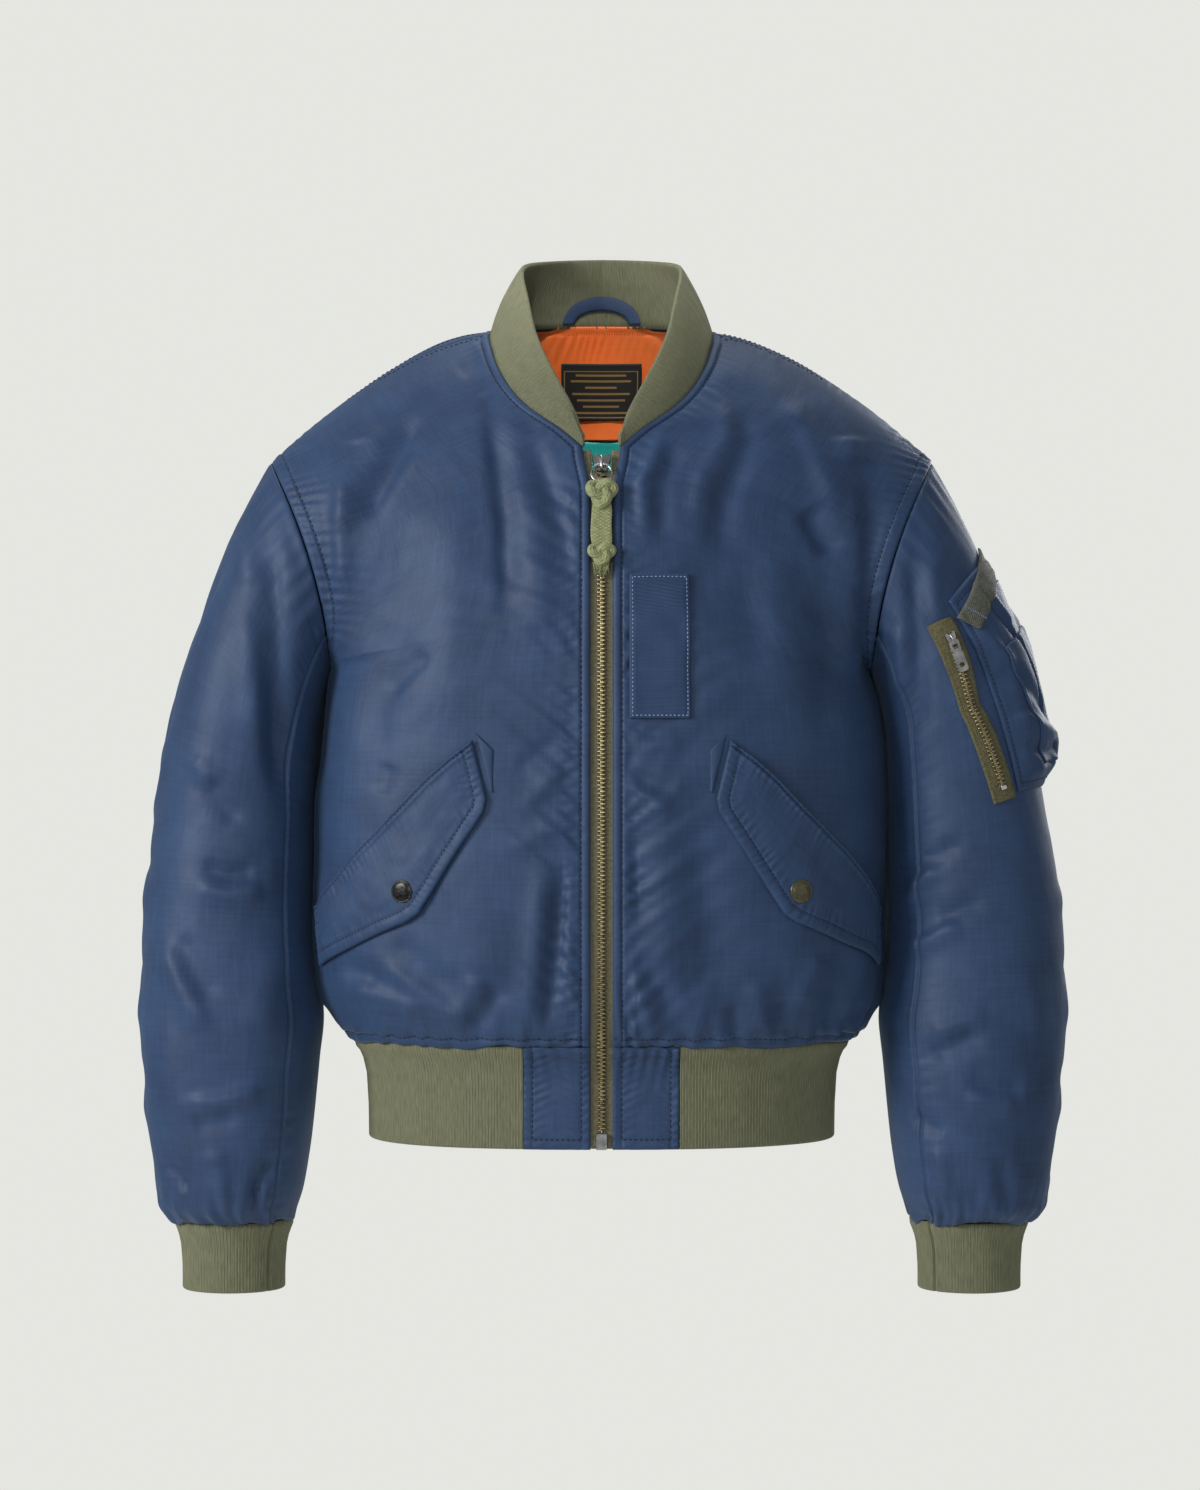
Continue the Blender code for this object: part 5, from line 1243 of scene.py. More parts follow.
def flap_lift(seed):
    """The height of a pocket flap over the front."""
    closed = FLAP + FLAP[:1]
    free_edges = FLAP_UPPER[:1] + FLAP_LOWER + FLAP_UPPER[-1:]
    perimeter = lengths(np.array(closed, float))[-1]

    def lift(across, height, *_):
        distance, _, share = apart(across, height, closed)
        depth = np.where(inside_outline(across, height, FLAP), distance, 0)
        from_top, free = (apart(across, height, line)[0] for line in (FLAP_UPPER, free_edges))
        body = 1.5 + 1.9 * ease(from_top / 80) + rim(depth, 2.2) + 0.9 * ease((free - 10) / 14)
        body += ridge(free - 4.4, 0.3, 2.4) + ridge(free - FLAP_STITCH, -0.9, 0.9)
        body += ridge(from_top - 1.2, 1.3, 0.9) + ridge(from_top - 5.2, 0.8, 1.6)
        body += ridge(from_top - PIPING, -1.1, 0.8)
        body += 0.9 * mottle(across, height, 24, seed, 1.4, 0.7) + 0.35 * mottle(across, height, 9, seed + 1)
        body += puckers(share * perimeter, np.abs(free - FLAP_STITCH), 0.5, 3, 6, seed)
        return body + puckers(share * perimeter, np.abs(from_top - PIPING), 0.45, 2.6, 5, seed + 2)
    return lift


SNAP = (145.0, -442.0)
flap_rise = {RIGHT: flap_lift(21), LEFT: flap_lift(22)}
for side, word in SIDES:
    laid("pocket_flap_%s_cloth" % word, "pocket_flap_" + word, partial(on_front, side),
         FLAP_UPPER, FLAP_LOWER, 64, 160, flap_rise[side], navy, 1.2, side)
    laid("pocket_welt_%s_cloth" % word, "pocket_welt_" + word, partial(on_front, side),
         ((74.5, -334), (88, -321)), ((74.5, -366), (76.5, -366)), 24, 16,
         lambda across, height, share, _: 0.4 + 1.2 * np.sin(math.pi * share) ** 0.5, navy, 0.8, side)

PATCH_STITCH = 2.6


def patch_lift(across, height, *_):
    """The patch: flat ribbed cloth with a firm turned edge and one row of stitches just inside it."""
    depth = np.maximum(edge_distance(across, height, PATCH), 0)
    ribs = 0.3 * np.cos(2 * math.pi * (height / 3.0 + 0.12 * mottle(across, height, 12, 78)))
    return (1.3 + rim(depth, 2.2, 1.3) + ridge(depth - PATCH_STITCH, -0.8, 0.8) + ribs * ease(depth - 3)
            + 0.9 * mottle(across, height, 26, 77) * ease(depth / 8))


laid("chest_patch_cloth", "chest_patch", partial(on_front, LEFT), PATCH[:2], PATCH[3:1:-1], 160, 36,
     patch_lift, patch_satin, 1.0)

TAB_STITCH = 7.0


def tab_cloth(seed):
    """A waistband tab: plain nylon with stitched edges."""
    heights = np.linspace(HEM_SEAM + 1.5, HEM_EDGE, 60)
    outer, out = waist_net(0.15, TAB_WIDTH, 1.0, heights)
    shares = np.linspace(0, 1, outer.shape[1])
    down_way = (heights[0] - heights)[:, None] + 0 * shares
    across = TAB_WIDTH * shares + 0 * down_way
    to_fold = heights[0] - HEM_EDGE - down_way
    from_edge = np.minimum(np.minimum(across, TAB_WIDTH - across), to_fold)
    rise = 1.9 * slack(across * 1.5, down_way * 1.2, seed) * ease(from_edge / 9)
    for from_side, number in ((across, 3), (TAB_WIDTH - across, 4)):
        rise += ridge(from_side - TAB_STITCH, -0.6, 0.8)
        rise += puckers(down_way, np.abs(from_side - TAB_STITCH), 0.8, 4, 7, seed + number, 0.7)
    rise += ridge(to_fold - TAB_STITCH, -0.5, 0.8) + ridge(down_way, 1.2, 6)
    rise += puckers(across, down_way, 0.9, 7, 9, seed) + seam_roll(from_edge, 1.0, 1.0)
    width = np.full(len(heights), TAB_WIDTH)
    return Cloth(outer + out * rise[..., None], np.arange(len(heights)), 0 * width, width, shares, -1)


tabs = {RIGHT: tab_cloth(31), LEFT: tab_cloth(32)}
for side, word in SIDES:
    net("hem_tab_%s_cloth" % word, "hem_tab_" + word, tabs[side].points, navy, -1, side, SHELL)

# %% Snap caps
CAP_PROFILE = ((0.01, 3.1), (3, 3.05), (5.6, 2.8), (7.2, 2.3), (7.7, 1.9), (8.0, 2.1), (8.7, 2.0), (9.3, 1.2),
               (9.3, 0.2), (9.0, 0.0))     # a domed disc with a rolled edge: radius, height


def in_frame(frame, places):
    """Places in a frame, which is a point and its axes."""
    point, *axes = frame
    return point + np.asarray(places, float) @ np.array(axes)


for (side, word), cloth in zip(SIDES, (gunmetal, olive_cap)):
    centre, out = on_front(side, *SNAP, 4.7)
    across = unit(np.cross(out, (0, 0, 1.0)))
    axes = (centre, across, np.cross(across, out), out)
    rings = [in_frame(axes, [(a, b, height) for a, b in circle(radius, 48)])
             for radius, height in CAP_PROFILE]
    net("snap_%s_cap" % word, "snap_" + word, rings, cloth, 1, side, around=True, caps=True)

# %% [markdown]
# ## The front zip
# A zip is two woven tapes with a row of teeth clamped on each. The teeth are cast brass, 3.2 mm apart on
# each tape, and where the zip is shut they take turns. All of it follows the fronts' centre profile.

# %% Zip tapes and teeth
TAPE_DEPTH = 3.4
ZIP_TOP = -101.0
SLIDER_CENTRE = -112.5
END_BOX_CENTRE = -634.5
TOOTH_PITCH = 3.2            # on one tape; the two tapes' teeth are half of this apart


def front_depth(height):
    """How far the fronts' outer face stands off the middle plane beside the zip."""
    table, column = (CENTRE_LINE[FRONT], 1) if height > UNDERARM else (
        WAISTBAND if height < HEM_SEAM else BODY, 2)
    rows = np.array(table, float)
    return float(smooth(rows[:, 0], rows[:, column], height))


def front_line(height, lift):
    """A place on the fronts' centre profile moved off it, the way down along the profile and the way out."""
    down_way = unit(np.array((0, front_depth(height + 1) - front_depth(height - 1), -2.0)))
    out = np.array((0, down_way[2], -down_way[1]))
    return np.array((0, -front_depth(height), height)) + out * lift, down_way, out


def frame_at(point, down_way, out):
    """Axes at a point: across, outwards and up along the zip."""
    up = -unit(np.array(down_way, float))
    out = unit(out - up * np.dot(up, out))
    return point, np.cross(out, up), out, up


def tape_net():
    """One zip tape, from the middle to under the front."""
    grid = []
    for height in np.linspace(HEM_EDGE + 0.5, ZIP_TOP, 140):
        _, y, z = front_line(height, -TAPE_DEPTH)[0]
        inner = 0.3 + 7.5 * ease((height + 122) / 6) * (height > -124)
        grid.append([(x, y + 0.12 * math.sin(height / 9 + x), z) for x in np.linspace(inner, 20, 8)])
    return grid


for side, word in SIDES:
    net("zip_tape_%s_cloth" % word, "zip_tape_" + word, tape_net(), khaki, 1, side, 1.0)

TOOTH_OUTLINE = ((-0.5, -0.42), (-0.18, -0.5), (0.28, -0.46), (0.5, -0.2), (0.5, 0.2), (0.28, 0.46),
                 (-0.18, 0.5), (-0.5, 0.42))


def teeth(name, node, frames, width, tall, deep):
    """Two rows of cast teeth with rounded, waisted heads that take turns along a line of frames."""
    tooth = np.array([[(width * 0.22 + a * width * s, deep * d, b * tall * s) for a, b in TOOTH_OUTLINE]
                      for s, d in ((1.0, 0.0), (1.0, 0.55), (0.86, 0.85), (0.62, 1.0))])
    block = strips(tooth)[0].tolist() + end_faces(*tooth.shape[:2])
    verts, faces = [], []
    for index, frame in enumerate(frames):
        turn = 1 if index % 2 else -1
        faces += [[len(verts) + i for i in face][::-turn] for face in block]
        verts += in_frame(frame, tooth.reshape(-1, 3) * (turn, 1, 1)).tolist()
    print("%s: %d" % (name, len(frames)))
    return piece(name, smooth_mesh(name, verts, faces, sharp=40), brass, node)


frames = []
for height in np.arange(END_BOX_CENTRE + 8.5, SLIDER_CENTRE - 6.5, TOOTH_PITCH / 2):
    point, across, out, up = frame_at(*front_line(height, -TAPE_DEPTH + 0.3))
    frames.append((point, -across, out, up))
teeth("zip_teeth", "zip_chain", frames, 5.2, 1.9, 2.6)

# %% [markdown]
# **Slider, stop and pull.** The slider is a nickel-plated shield with a bridge. A wire ring hangs in the
# bridge, and a knotted cotton strap hangs on the ring. The ring and strap swing together, so they ride
# on the pull's own body.

# %% Slider, ring and end box


def at_depth(frame, outline, depth):
    """An outline across and up a frame, at a depth of it."""
    return in_frame(frame, np.insert(np.array(outline, float), 1, depth, axis=1))


def plate(frame, outline, low, high, bevel=0.5):
    """A plate with softened edges between two depths of a frame."""
    middle = np.mean(outline, axis=0)
    away = outline - middle
    size = np.linalg.norm(away, axis=1, keepdims=True)
    return np.array([at_depth(frame, middle + away * (1 - shrink / size), depth) for shrink, depth in (
        (bevel, low), (0, low + bevel), (0, high - bevel), (bevel, high))])


def rounded(width, height, corner, steps=5, foot=1.0):
    """A rounded rectangle round the origin, foot times as wide at its lower end."""
    points = []
    for turn, (sx, sz) in enumerate(((1, 1), (-1, 1), (-1, -1), (1, -1))):
        for step in range(steps):
            a = math.pi / 2 * (turn + step / (steps - 1))
            x = sx * (width / 2 - corner) + corner * math.cos(a)
            z = sz * (height / 2 - corner) + corner * math.sin(a)
            points.append((x * (foot + (1 - foot) * (z / height + 0.5)), z))
    return np.array(points)


def bars(name, node, cloth, tubes, rings=(), body="jacket"):
    """Join tubes, which are closed at their ends, and rings, which meet their own start, into one piece."""
    verts, faces, flat = [], [], []
    for grid, joined in [(tube, False) for tube in tubes] + [(ring, True) for ring in rings]:
        quads, corners = strips(grid, closed=joined)
        caps = [] if joined else end_faces(*grid.shape[:2])
        faces += [[len(verts) + i for i in face] for face in quads.tolist() + caps]
        verts += grid.reshape(-1, 3).tolist()
        flat += corners.ravel().tolist() + [0.0] * (2 * sum(len(cap) for cap in caps))
    return piece(name, smooth_mesh(name, verts, faces, flat, 45), cloth, node, body=body)


def tube(path, radius, sides=10, joined=False):
    """Rings round a path; radius may be one number or one for each point."""
    path = np.array(path, float)
    way = unit(np.roll(path, -1, 0) - np.roll(path, 1, 0) if joined else np.gradient(path, axis=0))
    first = unit(np.cross(way, (0.31, 0.9, 0.22)))
    axes = np.stack([first, np.cross(way, first)], axis=1)
    return path[:, None] + circle(1, sides) @ axes * np.broadcast_to(radius, len(path))[:, None, None]


SHIELD = np.array((
    (-7.0, 6.6), (-7.2, 3.0), (-6.0, -1.0), (-4.6, -6.4), (-3.4, -7.0), (3.4, -7.0), (4.6, -6.4), (6.0, -1.0),
    (7.2, 3.0), (7.0, 6.6), (4.6, 7.0), (2.0, 5.4), (0, 4.6), (-2.0, 5.4), (-4.6, 7.0)))
ARCH = np.array(((0, 3.0, 4.6), (0, 4.6, 4.2), (0, 5.7, 2.6), (0, 6.1, 0.2), (0, 6.0, -3.0), (0, 5.4, -5.4),
                 (0, 4.2, -6.2), (0, 2.6, -6.3)))
SLIDER_EYE = 1.9             # from the slider's face to the pull's pivot
RING_RADIUS, RING_WIRE, RING_TILT = 8.0, 0.95, math.radians(27.0)

zip_frame = frame_at(*front_line(SLIDER_CENTRE, -1.5))
bars("front_zip_slider", "zip_slider", nickel, [
    plate(zip_frame, SHIELD, 0.9, 3.0), plate(zip_frame, SHIELD, -3.0, -1.0),
    plate(zip_frame, rounded(2.4, 6.0, 0.8), -1.2, 1.2, 0.2), tube(in_frame(zip_frame, ARCH), 1.15, 12)])
box_frame = frame_at(*front_line(END_BOX_CENTRE, -1.2))
bars("zip_bottom_stop", "zip_end_box", nickel, [
    plate(box_frame, rounded(9.0, 13.0, 1.2), -2.5, 2.3, 0.7),
    plate(box_frame, rounded(2.2, 12.0, 0.8), 2.0, 2.9, 0.3)])
hang = np.array((0, -math.sin(RING_TILT), -math.cos(RING_TILT)))
ring_centre = in_frame(zip_frame, (0, 3.0 + SLIDER_EYE, -2.5)) + hang * RING_RADIUS
ring_path = in_frame((ring_centre, (1.0, 0, 0), hang), circle(RING_RADIUS, 72))
bars("zip_pull_wire", "zip_pull_ring", nickel, [], [tube(ring_path, RING_WIRE, 12, True)], "front_zip_pull")

# %% The knotted strap
Strap = namedtuple("Strap", "height half_width half_thickness lift")
STRAP = (
    Strap(-196, 5.0, 1.4, 2.4), Strap(-189, 5.5, 2.0, 3.4), Strap(-182, 7.0, 2.0, 3.6),
    Strap(-174, 8.1, 1.7, 3.0), Strap(-160, 8.0, 1.7, 2.8), Strap(-151, 7.8, 1.8, 3.2),
    Strap(-142, 6.5, 2.2, 4.8), Strap(-133, 5.0, 2.2, 5.0), Strap(-126.5, 3.0, 1.8, 4.0),
)


def pull_place(height, lift, across=0.0):
    """A place on the pull: across, and lifted off the zip."""
    return front_line(height, lift)[0] + (across, 0, 0)


def strap_net():
    """The flat strap from the ring to its end, with a shallow trough down its face."""
    table = np.array(STRAP, float)
    grid = []
    for height in np.linspace(-196, -126.5, 110):
        half_width, half_deep, lift = smooth(table[:, 0], table[:, 1:], height)
        section = []
        for turned in circle(1, 44):
            across, rise = (half_width, half_deep) * np.sign(turned) * np.abs(turned) ** 0.6
            hollow = ridge(across - 1.5, 0.7, 2.2) + 0.12 * math.sin(height * 2.1 + across)
            section.append(pull_place(height, lift + rise - hollow, across + 0.3 * math.sin(height / 5)))
        grid.append(section)
    return np.array(grid)


def knot(height, lift, wide, tall, deep, thick):
    """An overhand knot pulled half tight: a loop of thick cord that crosses itself three times."""
    turns = np.linspace(0, 2 * math.pi, 84, endpoint=False)
    across = (np.sin(turns) + 2 * np.sin(2 * turns)) / 2.7 * (wide / 2 - thick)
    up = (np.cos(turns) - 2 * np.cos(2 * turns) + 0.45) / 2.5 * (tall / 2 - thick)
    out = -np.sin(3 * turns) * (deep / 2 - thick)
    path = [pull_place(height + b, lift + c, a) for a, b, c in zip(across, up, out)]
    return tube(path, thick * (1 + 0.07 * np.sin(turns * 9)), 14, True)


cords = [strap_net()]
draws = np.random.default_rng(14)
for _ in range(46):          # the frayed threads of its end
    start, top = draws.uniform(-6.5, 6.5), draws.uniform(-193, -189)
    lift, length, bend = draws.uniform(1.6, 4.6), draws.uniform(6, 10), draws.uniform(-2.0, 2.0)
    path = [pull_place(top - length * t, lift, start * (1 - 0.35 * t) + bend * t * t)
            for t in np.linspace(0, 1, 5)]
    cords.append(tube(path, np.linspace(0.6, 0.25, 5), 5))
knots = [knot(-139.5, 6.8, 25.5, 23, 11.5, 3.9), knot(-185.5, 5.8, 22.5, 17, 9.5, 3.3)]
bars("zip_pull_strap", "zip_pull_leader", sage, cords, knots, "front_zip_pull")

# %% [markdown]
# ## The sleeve pocket
# The left sleeve carries a bellows pocket that is sewn flat along the zip and stands off at its outer
# lower corner. A pen pocket is stitched on it, and a tab of webbing crosses its top.

# %% Pocket, pen pocket and webbing
POCKET_FRONT = np.array(((75.5, 0.100), (59, 0.368)))     # degrees round the sleeve, and share down it
POCKET_BACK = np.array(((-32, 0.118), (-35, 0.372)))
POCKET_FULLNESS = 9.0
POCKET_WIDTH, POCKET_HEIGHT = 150.0, 165.0
PEN_TOP, PEN_FOOT = ((54, 0.190), (-8, 0.185)), ((36, 0.340), (-10, 0.340))
SLEEVE_TAPE = ((94, 0.095), (93, 0.165), (91, 0.235), (85, 0.310), (79, 0.378))
SLEEVE_TAPE_WIDTH = 22.0
WEBBING = ((70, 0.140), (12, 0.108))
WEBBING_WIDTH = 20.0
FOLDS_POCKET = (          # from the pocket's front edge and from its top, in millimetres
    (((34, 4), (40, 30), (58, 62), (72, 128)), 2.6, -1.5, 0.3), (((8, 26), (24, 58), (30, 96)), 7, 1.6, 0.3),
    (((14, 60), (44, 90), (70, 112)), 7, -1.8, 0.2), (((10, 100), (40, 118), (78, 128)), 7, 2.0, 0.2),
    (((16, 128), (50, 140), (86, 138)), 6, -1.8, 0.2), (((62, 150), (80, 138), (94, 120)), 6, 2.2),
    (((44, 20), (56, 44)), 5, 1.3), (((100, 30), (110, 90)), 8, 1.6),
)
on_sleeve = sleeve_calm[LEFT].at


def pocket_spot(column, row):
    """Degrees round the sleeve and share down it, of places in the pocket."""
    column, row = np.asarray(column)[..., None], np.asarray(row)[..., None]
    front_edge, back_edge = (edge[0] + (edge[1] - edge[0]) * row for edge in (POCKET_FRONT, POCKET_BACK))
    return np.moveaxis(front_edge + (back_edge - front_edge) * column, -1, 0)


def pocket_place(degrees, share):
    """Where places on the sleeve lie in the pocket: column from its front edge, row from its top."""
    row = 0.5 + 0 * degrees
    for _ in range(6):
        first, last = pocket_spot(0, row)[0], pocket_spot(1, row)[0]
        column = (first - degrees) / (first - last)
        top, bottom = pocket_spot(column, 0)[1], pocket_spot(column, 1)[1]
        row = (share - top) / (bottom - top)
    return column, row


def pocket_surface(degrees, share, *_):
    """The height of the pocket's outer face over the sleeve: least at its sewn edges, fullest low down."""
    column, row = (np.clip(part, 0, 1) for part in pocket_place(degrees, share))
    a, b = column * POCKET_WIDTH, row * POCKET_HEIGHT
    edge = np.minimum(np.minimum(a, POCKET_WIDTH - a), np.minimum(b, POCKET_HEIGHT - b))
    fullness = ease(column / 0.22) * ease((1 - column) / 0.16) * ease((1 - row) / 0.1)
    fullness *= 0.35 * ease(row / 0.12) + 0.65 * ease(row / 0.5)
    lift = 1.0 + POCKET_FULLNESS * fullness + rim(edge, 1.6, 2.0) + ridge(edge - 6.0, -0.6, 1.0)
    lift += mottle(a, b, 24, 91, 1.5, 0.5) * ease(edge / 12) + 0.35 * mottle(a, b, 9, 92) * ease(edge / 6)
    return lift + 2.2 * folded(a, b, FOLDS_POCKET) * ease(edge / 5)


laid("sleeve_pocket_cloth", "sleeve_pocket", on_sleeve, (POCKET_FRONT[0], POCKET_BACK[0]),
     (POCKET_FRONT[1], POCKET_BACK[1]), 80, 76, pocket_surface, navy, 1.2)


def pen_lift(degrees, share, column, row):
    """The pen pocket over the sleeve pocket, with one channel stitched down its middle."""
    edge = np.minimum(np.minimum(column, 1 - column) * 70, np.minimum(row * 200, (1 - row) * 95))
    lift = pocket_surface(degrees, share) + 0.8 + rim(edge, 1.3, 1.6) + ridge(edge - 4.0, -0.5, 0.9)
    lift += ridge((column - 0.5) * 70, -0.9, 1.2) + 0.4 * np.sin(math.pi * ((column * 2) % 1)) ** 2
    return lift + 0.3 * mottle(column * 70, row * 95, 12, 95)


laid("pen_pocket_cloth", "pen_pocket", on_sleeve, PEN_TOP, PEN_FOOT, 60, 48, pen_lift, navy, 1.0)


def band(line, count, width, offset=0.0):
    """The two edges of a band along a line of places on the sleeve, offset sideways in millimetres."""
    line = np.array(line, float)
    line = between(line, np.arange(len(line)), np.linspace(0, len(line) - 1, count))
    here, turned, slid = (on_sleeve(line[:, 0] - a, line[:, 1] + b)[0]
                          for a, b in ((0, 0), (2, 0), (0, 0.004)))
    edges = []
    for reach in (offset - width / 2, offset + width / 2):
        edge = []
        for place, way, first, second in zip(line, np.gradient(here, axis=0), turned - here, slid - here):
            step = unit(np.cross(way, np.cross(first, second))) * reach
            amounts, *_ = np.linalg.lstsq(np.stack([first, second], axis=1), step, rcond=None)
            edge.append(place + amounts * (-2, 0.004))
        edges.append(np.array(edge))
    return edges


def from_rim(share, width):
    """Distance from the nearer of a band's two edges."""
    return np.minimum(share, 1 - share) * width


webbing_edges = band(WEBBING, 40, WEBBING_WIDTH)
laid("sleeve_webbing", "webbing_tab", on_sleeve, *webbing_edges, 12, 60,
     lambda d, s, a, b: pocket_surface(d, s) + 1.0 + rim(from_rim(b, WEBBING_WIDTH), 1.2, 1.0), webbing, 1.2)

# %% Sleeve zip
tape_edges = band(SLEEVE_TAPE, 60, SLEEVE_TAPE_WIDTH, SLEEVE_TAPE_WIDTH / 2)
laid("sleeve_tape_cloth", "sleeve_zip_tape", on_sleeve, *tape_edges, 16, 110,
     lambda d, s, a, b: 1.0 + rim(from_rim(b, SLEEVE_TAPE_WIDTH), 1.0, 0.8) + 0.2 * np.sin(a * 25),
     sleeve_khaki, 1.0)
zip_points, zip_out = on_sleeve(*((tape_edges[0] + tape_edges[1]) / 2).T, 2.1)
zip_run = lengths(zip_points)


def zip_frame_at(distance):
    """Axes on the sleeve zip's middle line, so far along it."""
    before, here, after = along(zip_points, distance + np.array((-1.0, 0.0, 1.0)))
    return frame_at(here, after - before, between(zip_out, zip_run, distance))


FIRST_TOOTH, LAST_TOOTH = 24.0, zip_run[-1] - 12.0
SLEEVE_TOOTH_PITCH = 1.6     # of both rows together
teeth("sleeve_zip_teeth", "sleeve_zip_chain",
      [zip_frame_at(distance) for distance in np.arange(FIRST_TOOTH, LAST_TOOTH, SLEEVE_TOOTH_PITCH)],
      5.0, 1.8, 1.9)
bars("sleeve_zip_stop", None, nickel, [
    plate(zip_frame_at(LAST_TOOTH + SLEEVE_TOOTH_PITCH), rounded(5.0, 3.4, 0.7), -0.2, 2.2, 0.4)])

# %% Sleeve zip slider and tab
hinge = np.array((272.542, -89.834, -250.081))
across = np.array((0.929641, 0.098035, 0.355184))         # the hinge's own axis
up = unit(np.cross(zip_frame_at(12.0)[2], across))
tab_frame = (hinge, across, np.cross(across, up), up)
small_frame = (in_frame(tab_frame, (0, -2.2 - SLIDER_EYE, 2.5)), *tab_frame[1:])
small_shield = SHIELD * (0.58, 0.78)
bars("sleeve_slider", "sleeve_zip_slider", nickel, [
    plate(small_frame, small_shield, 0.6, 2.2, 0.4), plate(small_frame, small_shield, -2.2, -0.7, 0.4),
    tube(in_frame(small_frame, ARCH * (1, 0.72, 0.7)), 0.95, 10)])


def ring_plate(frame, outer, inner, low, high):
    """A plate with a window: two outlines with the same number of points, joined into a frame."""
    edges = ((outer, low), (outer, high), (inner, high), (inner, low))
    return np.stack([at_depth(frame, outline, depth) for outline, depth in edges], axis=1)


top_part, window = rounded(8.0, 9.0, 1.2) - (0, 3.5), rounded(4.2, 4.4, 0.8) - (0, 3.4)
lower_part, hole = rounded(8.5, 16.4, 2.2) - (0, 16.0), circle(2.2, 20) - (0, 19.0)
bars("sleeve_zip_tab_plate", "sleeve_zip_tab", nickel, [], [
    ring_plate(tab_frame, top_part, window, -0.6, 0.6), ring_plate(tab_frame, lower_part, hole, -0.6, 0.6)],
    "sleeve_zip_pull")

# %% [markdown]
# ## Inside the neck
# Through the neck opening the orange lining shows, with the collar's seam stitched along its top, a teal
# band below it, the label, and the loop that the jacket hangs on.

# %% Lining, band, label and hanger loop
LINING_RECESS = 4.2
LINING_HALF_WIDTH = 72.0
BAND_TOP = -76.0


def inside_back(x, heights, depth):
    """A column of places inside the back, at one distance from the middle plane."""
    line = np.array([between(row[:, 2:0:-1], row[:, 0], abs(x))
                     for row in back_form.points if row[0, 0] <= abs(x)])
    y = np.interp(heights, line[:, 0], line[:, 1]) - depth
    return np.stack([x + 0 * heights, y, heights], axis=1)


def seam_height(x):
    """The height of the neck seam at the back."""
    return np.interp(abs(x), neck_table[:5, 0], neck_table[:5, 2])


def lining_net(low, high, half_width, columns, rows, lift):
    """Cloth inside the back between two heights; lift is a function of x and height. The upper height may
    be None, for the neck seam.
    """
    grid = []
    for x in np.linspace(-half_width, half_width, columns):
        at_side, toward_side = ease((abs(x) - 52) / 12), ease((abs(x) - 30) / 14)
        top = seam_height(x) + 1.2 - 3.6 * toward_side - 11 * at_side if high is None else high
        heights = np.linspace(low, top, rows)
        grid.append(inside_back(x, heights, LINING_RECESS + 3 * toward_side + lift(x + 0 * heights, heights)))
    return np.transpose(np.array(grid), (1, 0, 2))


LINING_STITCH = 4.5          # below the neck seam


def lining_lift(x, height):
    """Puckers under the neck seam, and a little slack."""
    under = seam_height(x) - height
    rise = 1.1 * mottle(x, height, 30, 61, 1.5) + 0.5 * mottle(x, height, 12, 62, 1.6, 0.5)
    rise += puckers(x, under - LINING_STITCH, 0.6, 8, 7, 63, 0.5) + ridge(under - LINING_STITCH, -0.8, 1.4)
    return rise * ease(under / 3) + 0.5


def band_lift(x, height):
    """The teal band, with its upper edge turned."""
    return 0.5 * mottle(x, height, 24, 64) - 1.2 + ridge(height + 79, 0.6, 1.5)


def label_lift(x, height):
    """The label lies over the lining, with its turned edges a little raised."""
    edge = np.minimum(33 - np.abs(x), np.minimum(-15 - height, height + 60))
    return 2.6 + 0.4 * mottle(x, height, 20, 6) + ridge(edge, 0.5, 1.5)


def loop_net():
    """The hanger loop: an arch of flat tape against the inside of the collar."""
    grid = []
    turns = np.linspace(-math.pi / 2, math.pi / 2, 61)
    for reach in np.linspace(0, 1, 9):
        seam, way, outward = collar_at((29.5 - 11.0 * (reach - 0.5)) * np.sin(turns))
        rise = ((3 + (22.5 - 11.0 * reach) * np.cos(turns)) / 56)[:, None]
        bulge = 3.0 * np.sin(math.pi * rise) - 5.6 - 0.5 * math.sin(math.pi * reach)
        grid.append(seam + way * rise + outward * bulge)
    return np.array(grid)


lining = lining_net(BAND_TOP, None, LINING_HALF_WIDTH, 130, 64, lining_lift)
band_net = lining_net(-122, BAND_TOP - 0.6, LINING_HALF_WIDTH, 60, 20, band_lift)
label = lining_net(-60, -15, 33, 44, 30, label_lift)
net("neck_lining_cloth", "lining_back", lining, orange, wall=1.0)
net("neck_band_cloth", "lining_band", band_net, teal, wall=1.0)
net("neck_label_cloth", "neck_label", label, label_cloth, wall=0.7)
net("hanger_loop_cloth", "hanger_loop", loop_net(), navy, wall=1.0)

# %% [markdown]
# ## Sewing
# A row of topstitching is a row of separate short stitches, each a little bead of thread that dips at
# both ends. They are real meshes, one small spindle copied along each row.

# %% Stitches
THREAD_LIFT = 0.15
SPINDLE = np.array([[(along_it, a, b) for a, b in circle(size, 5)] for along_it, size in (
    (-0.5, 0.1), (-0.22, 1.0), (0.22, 1.0), (0.5, 0.1))])


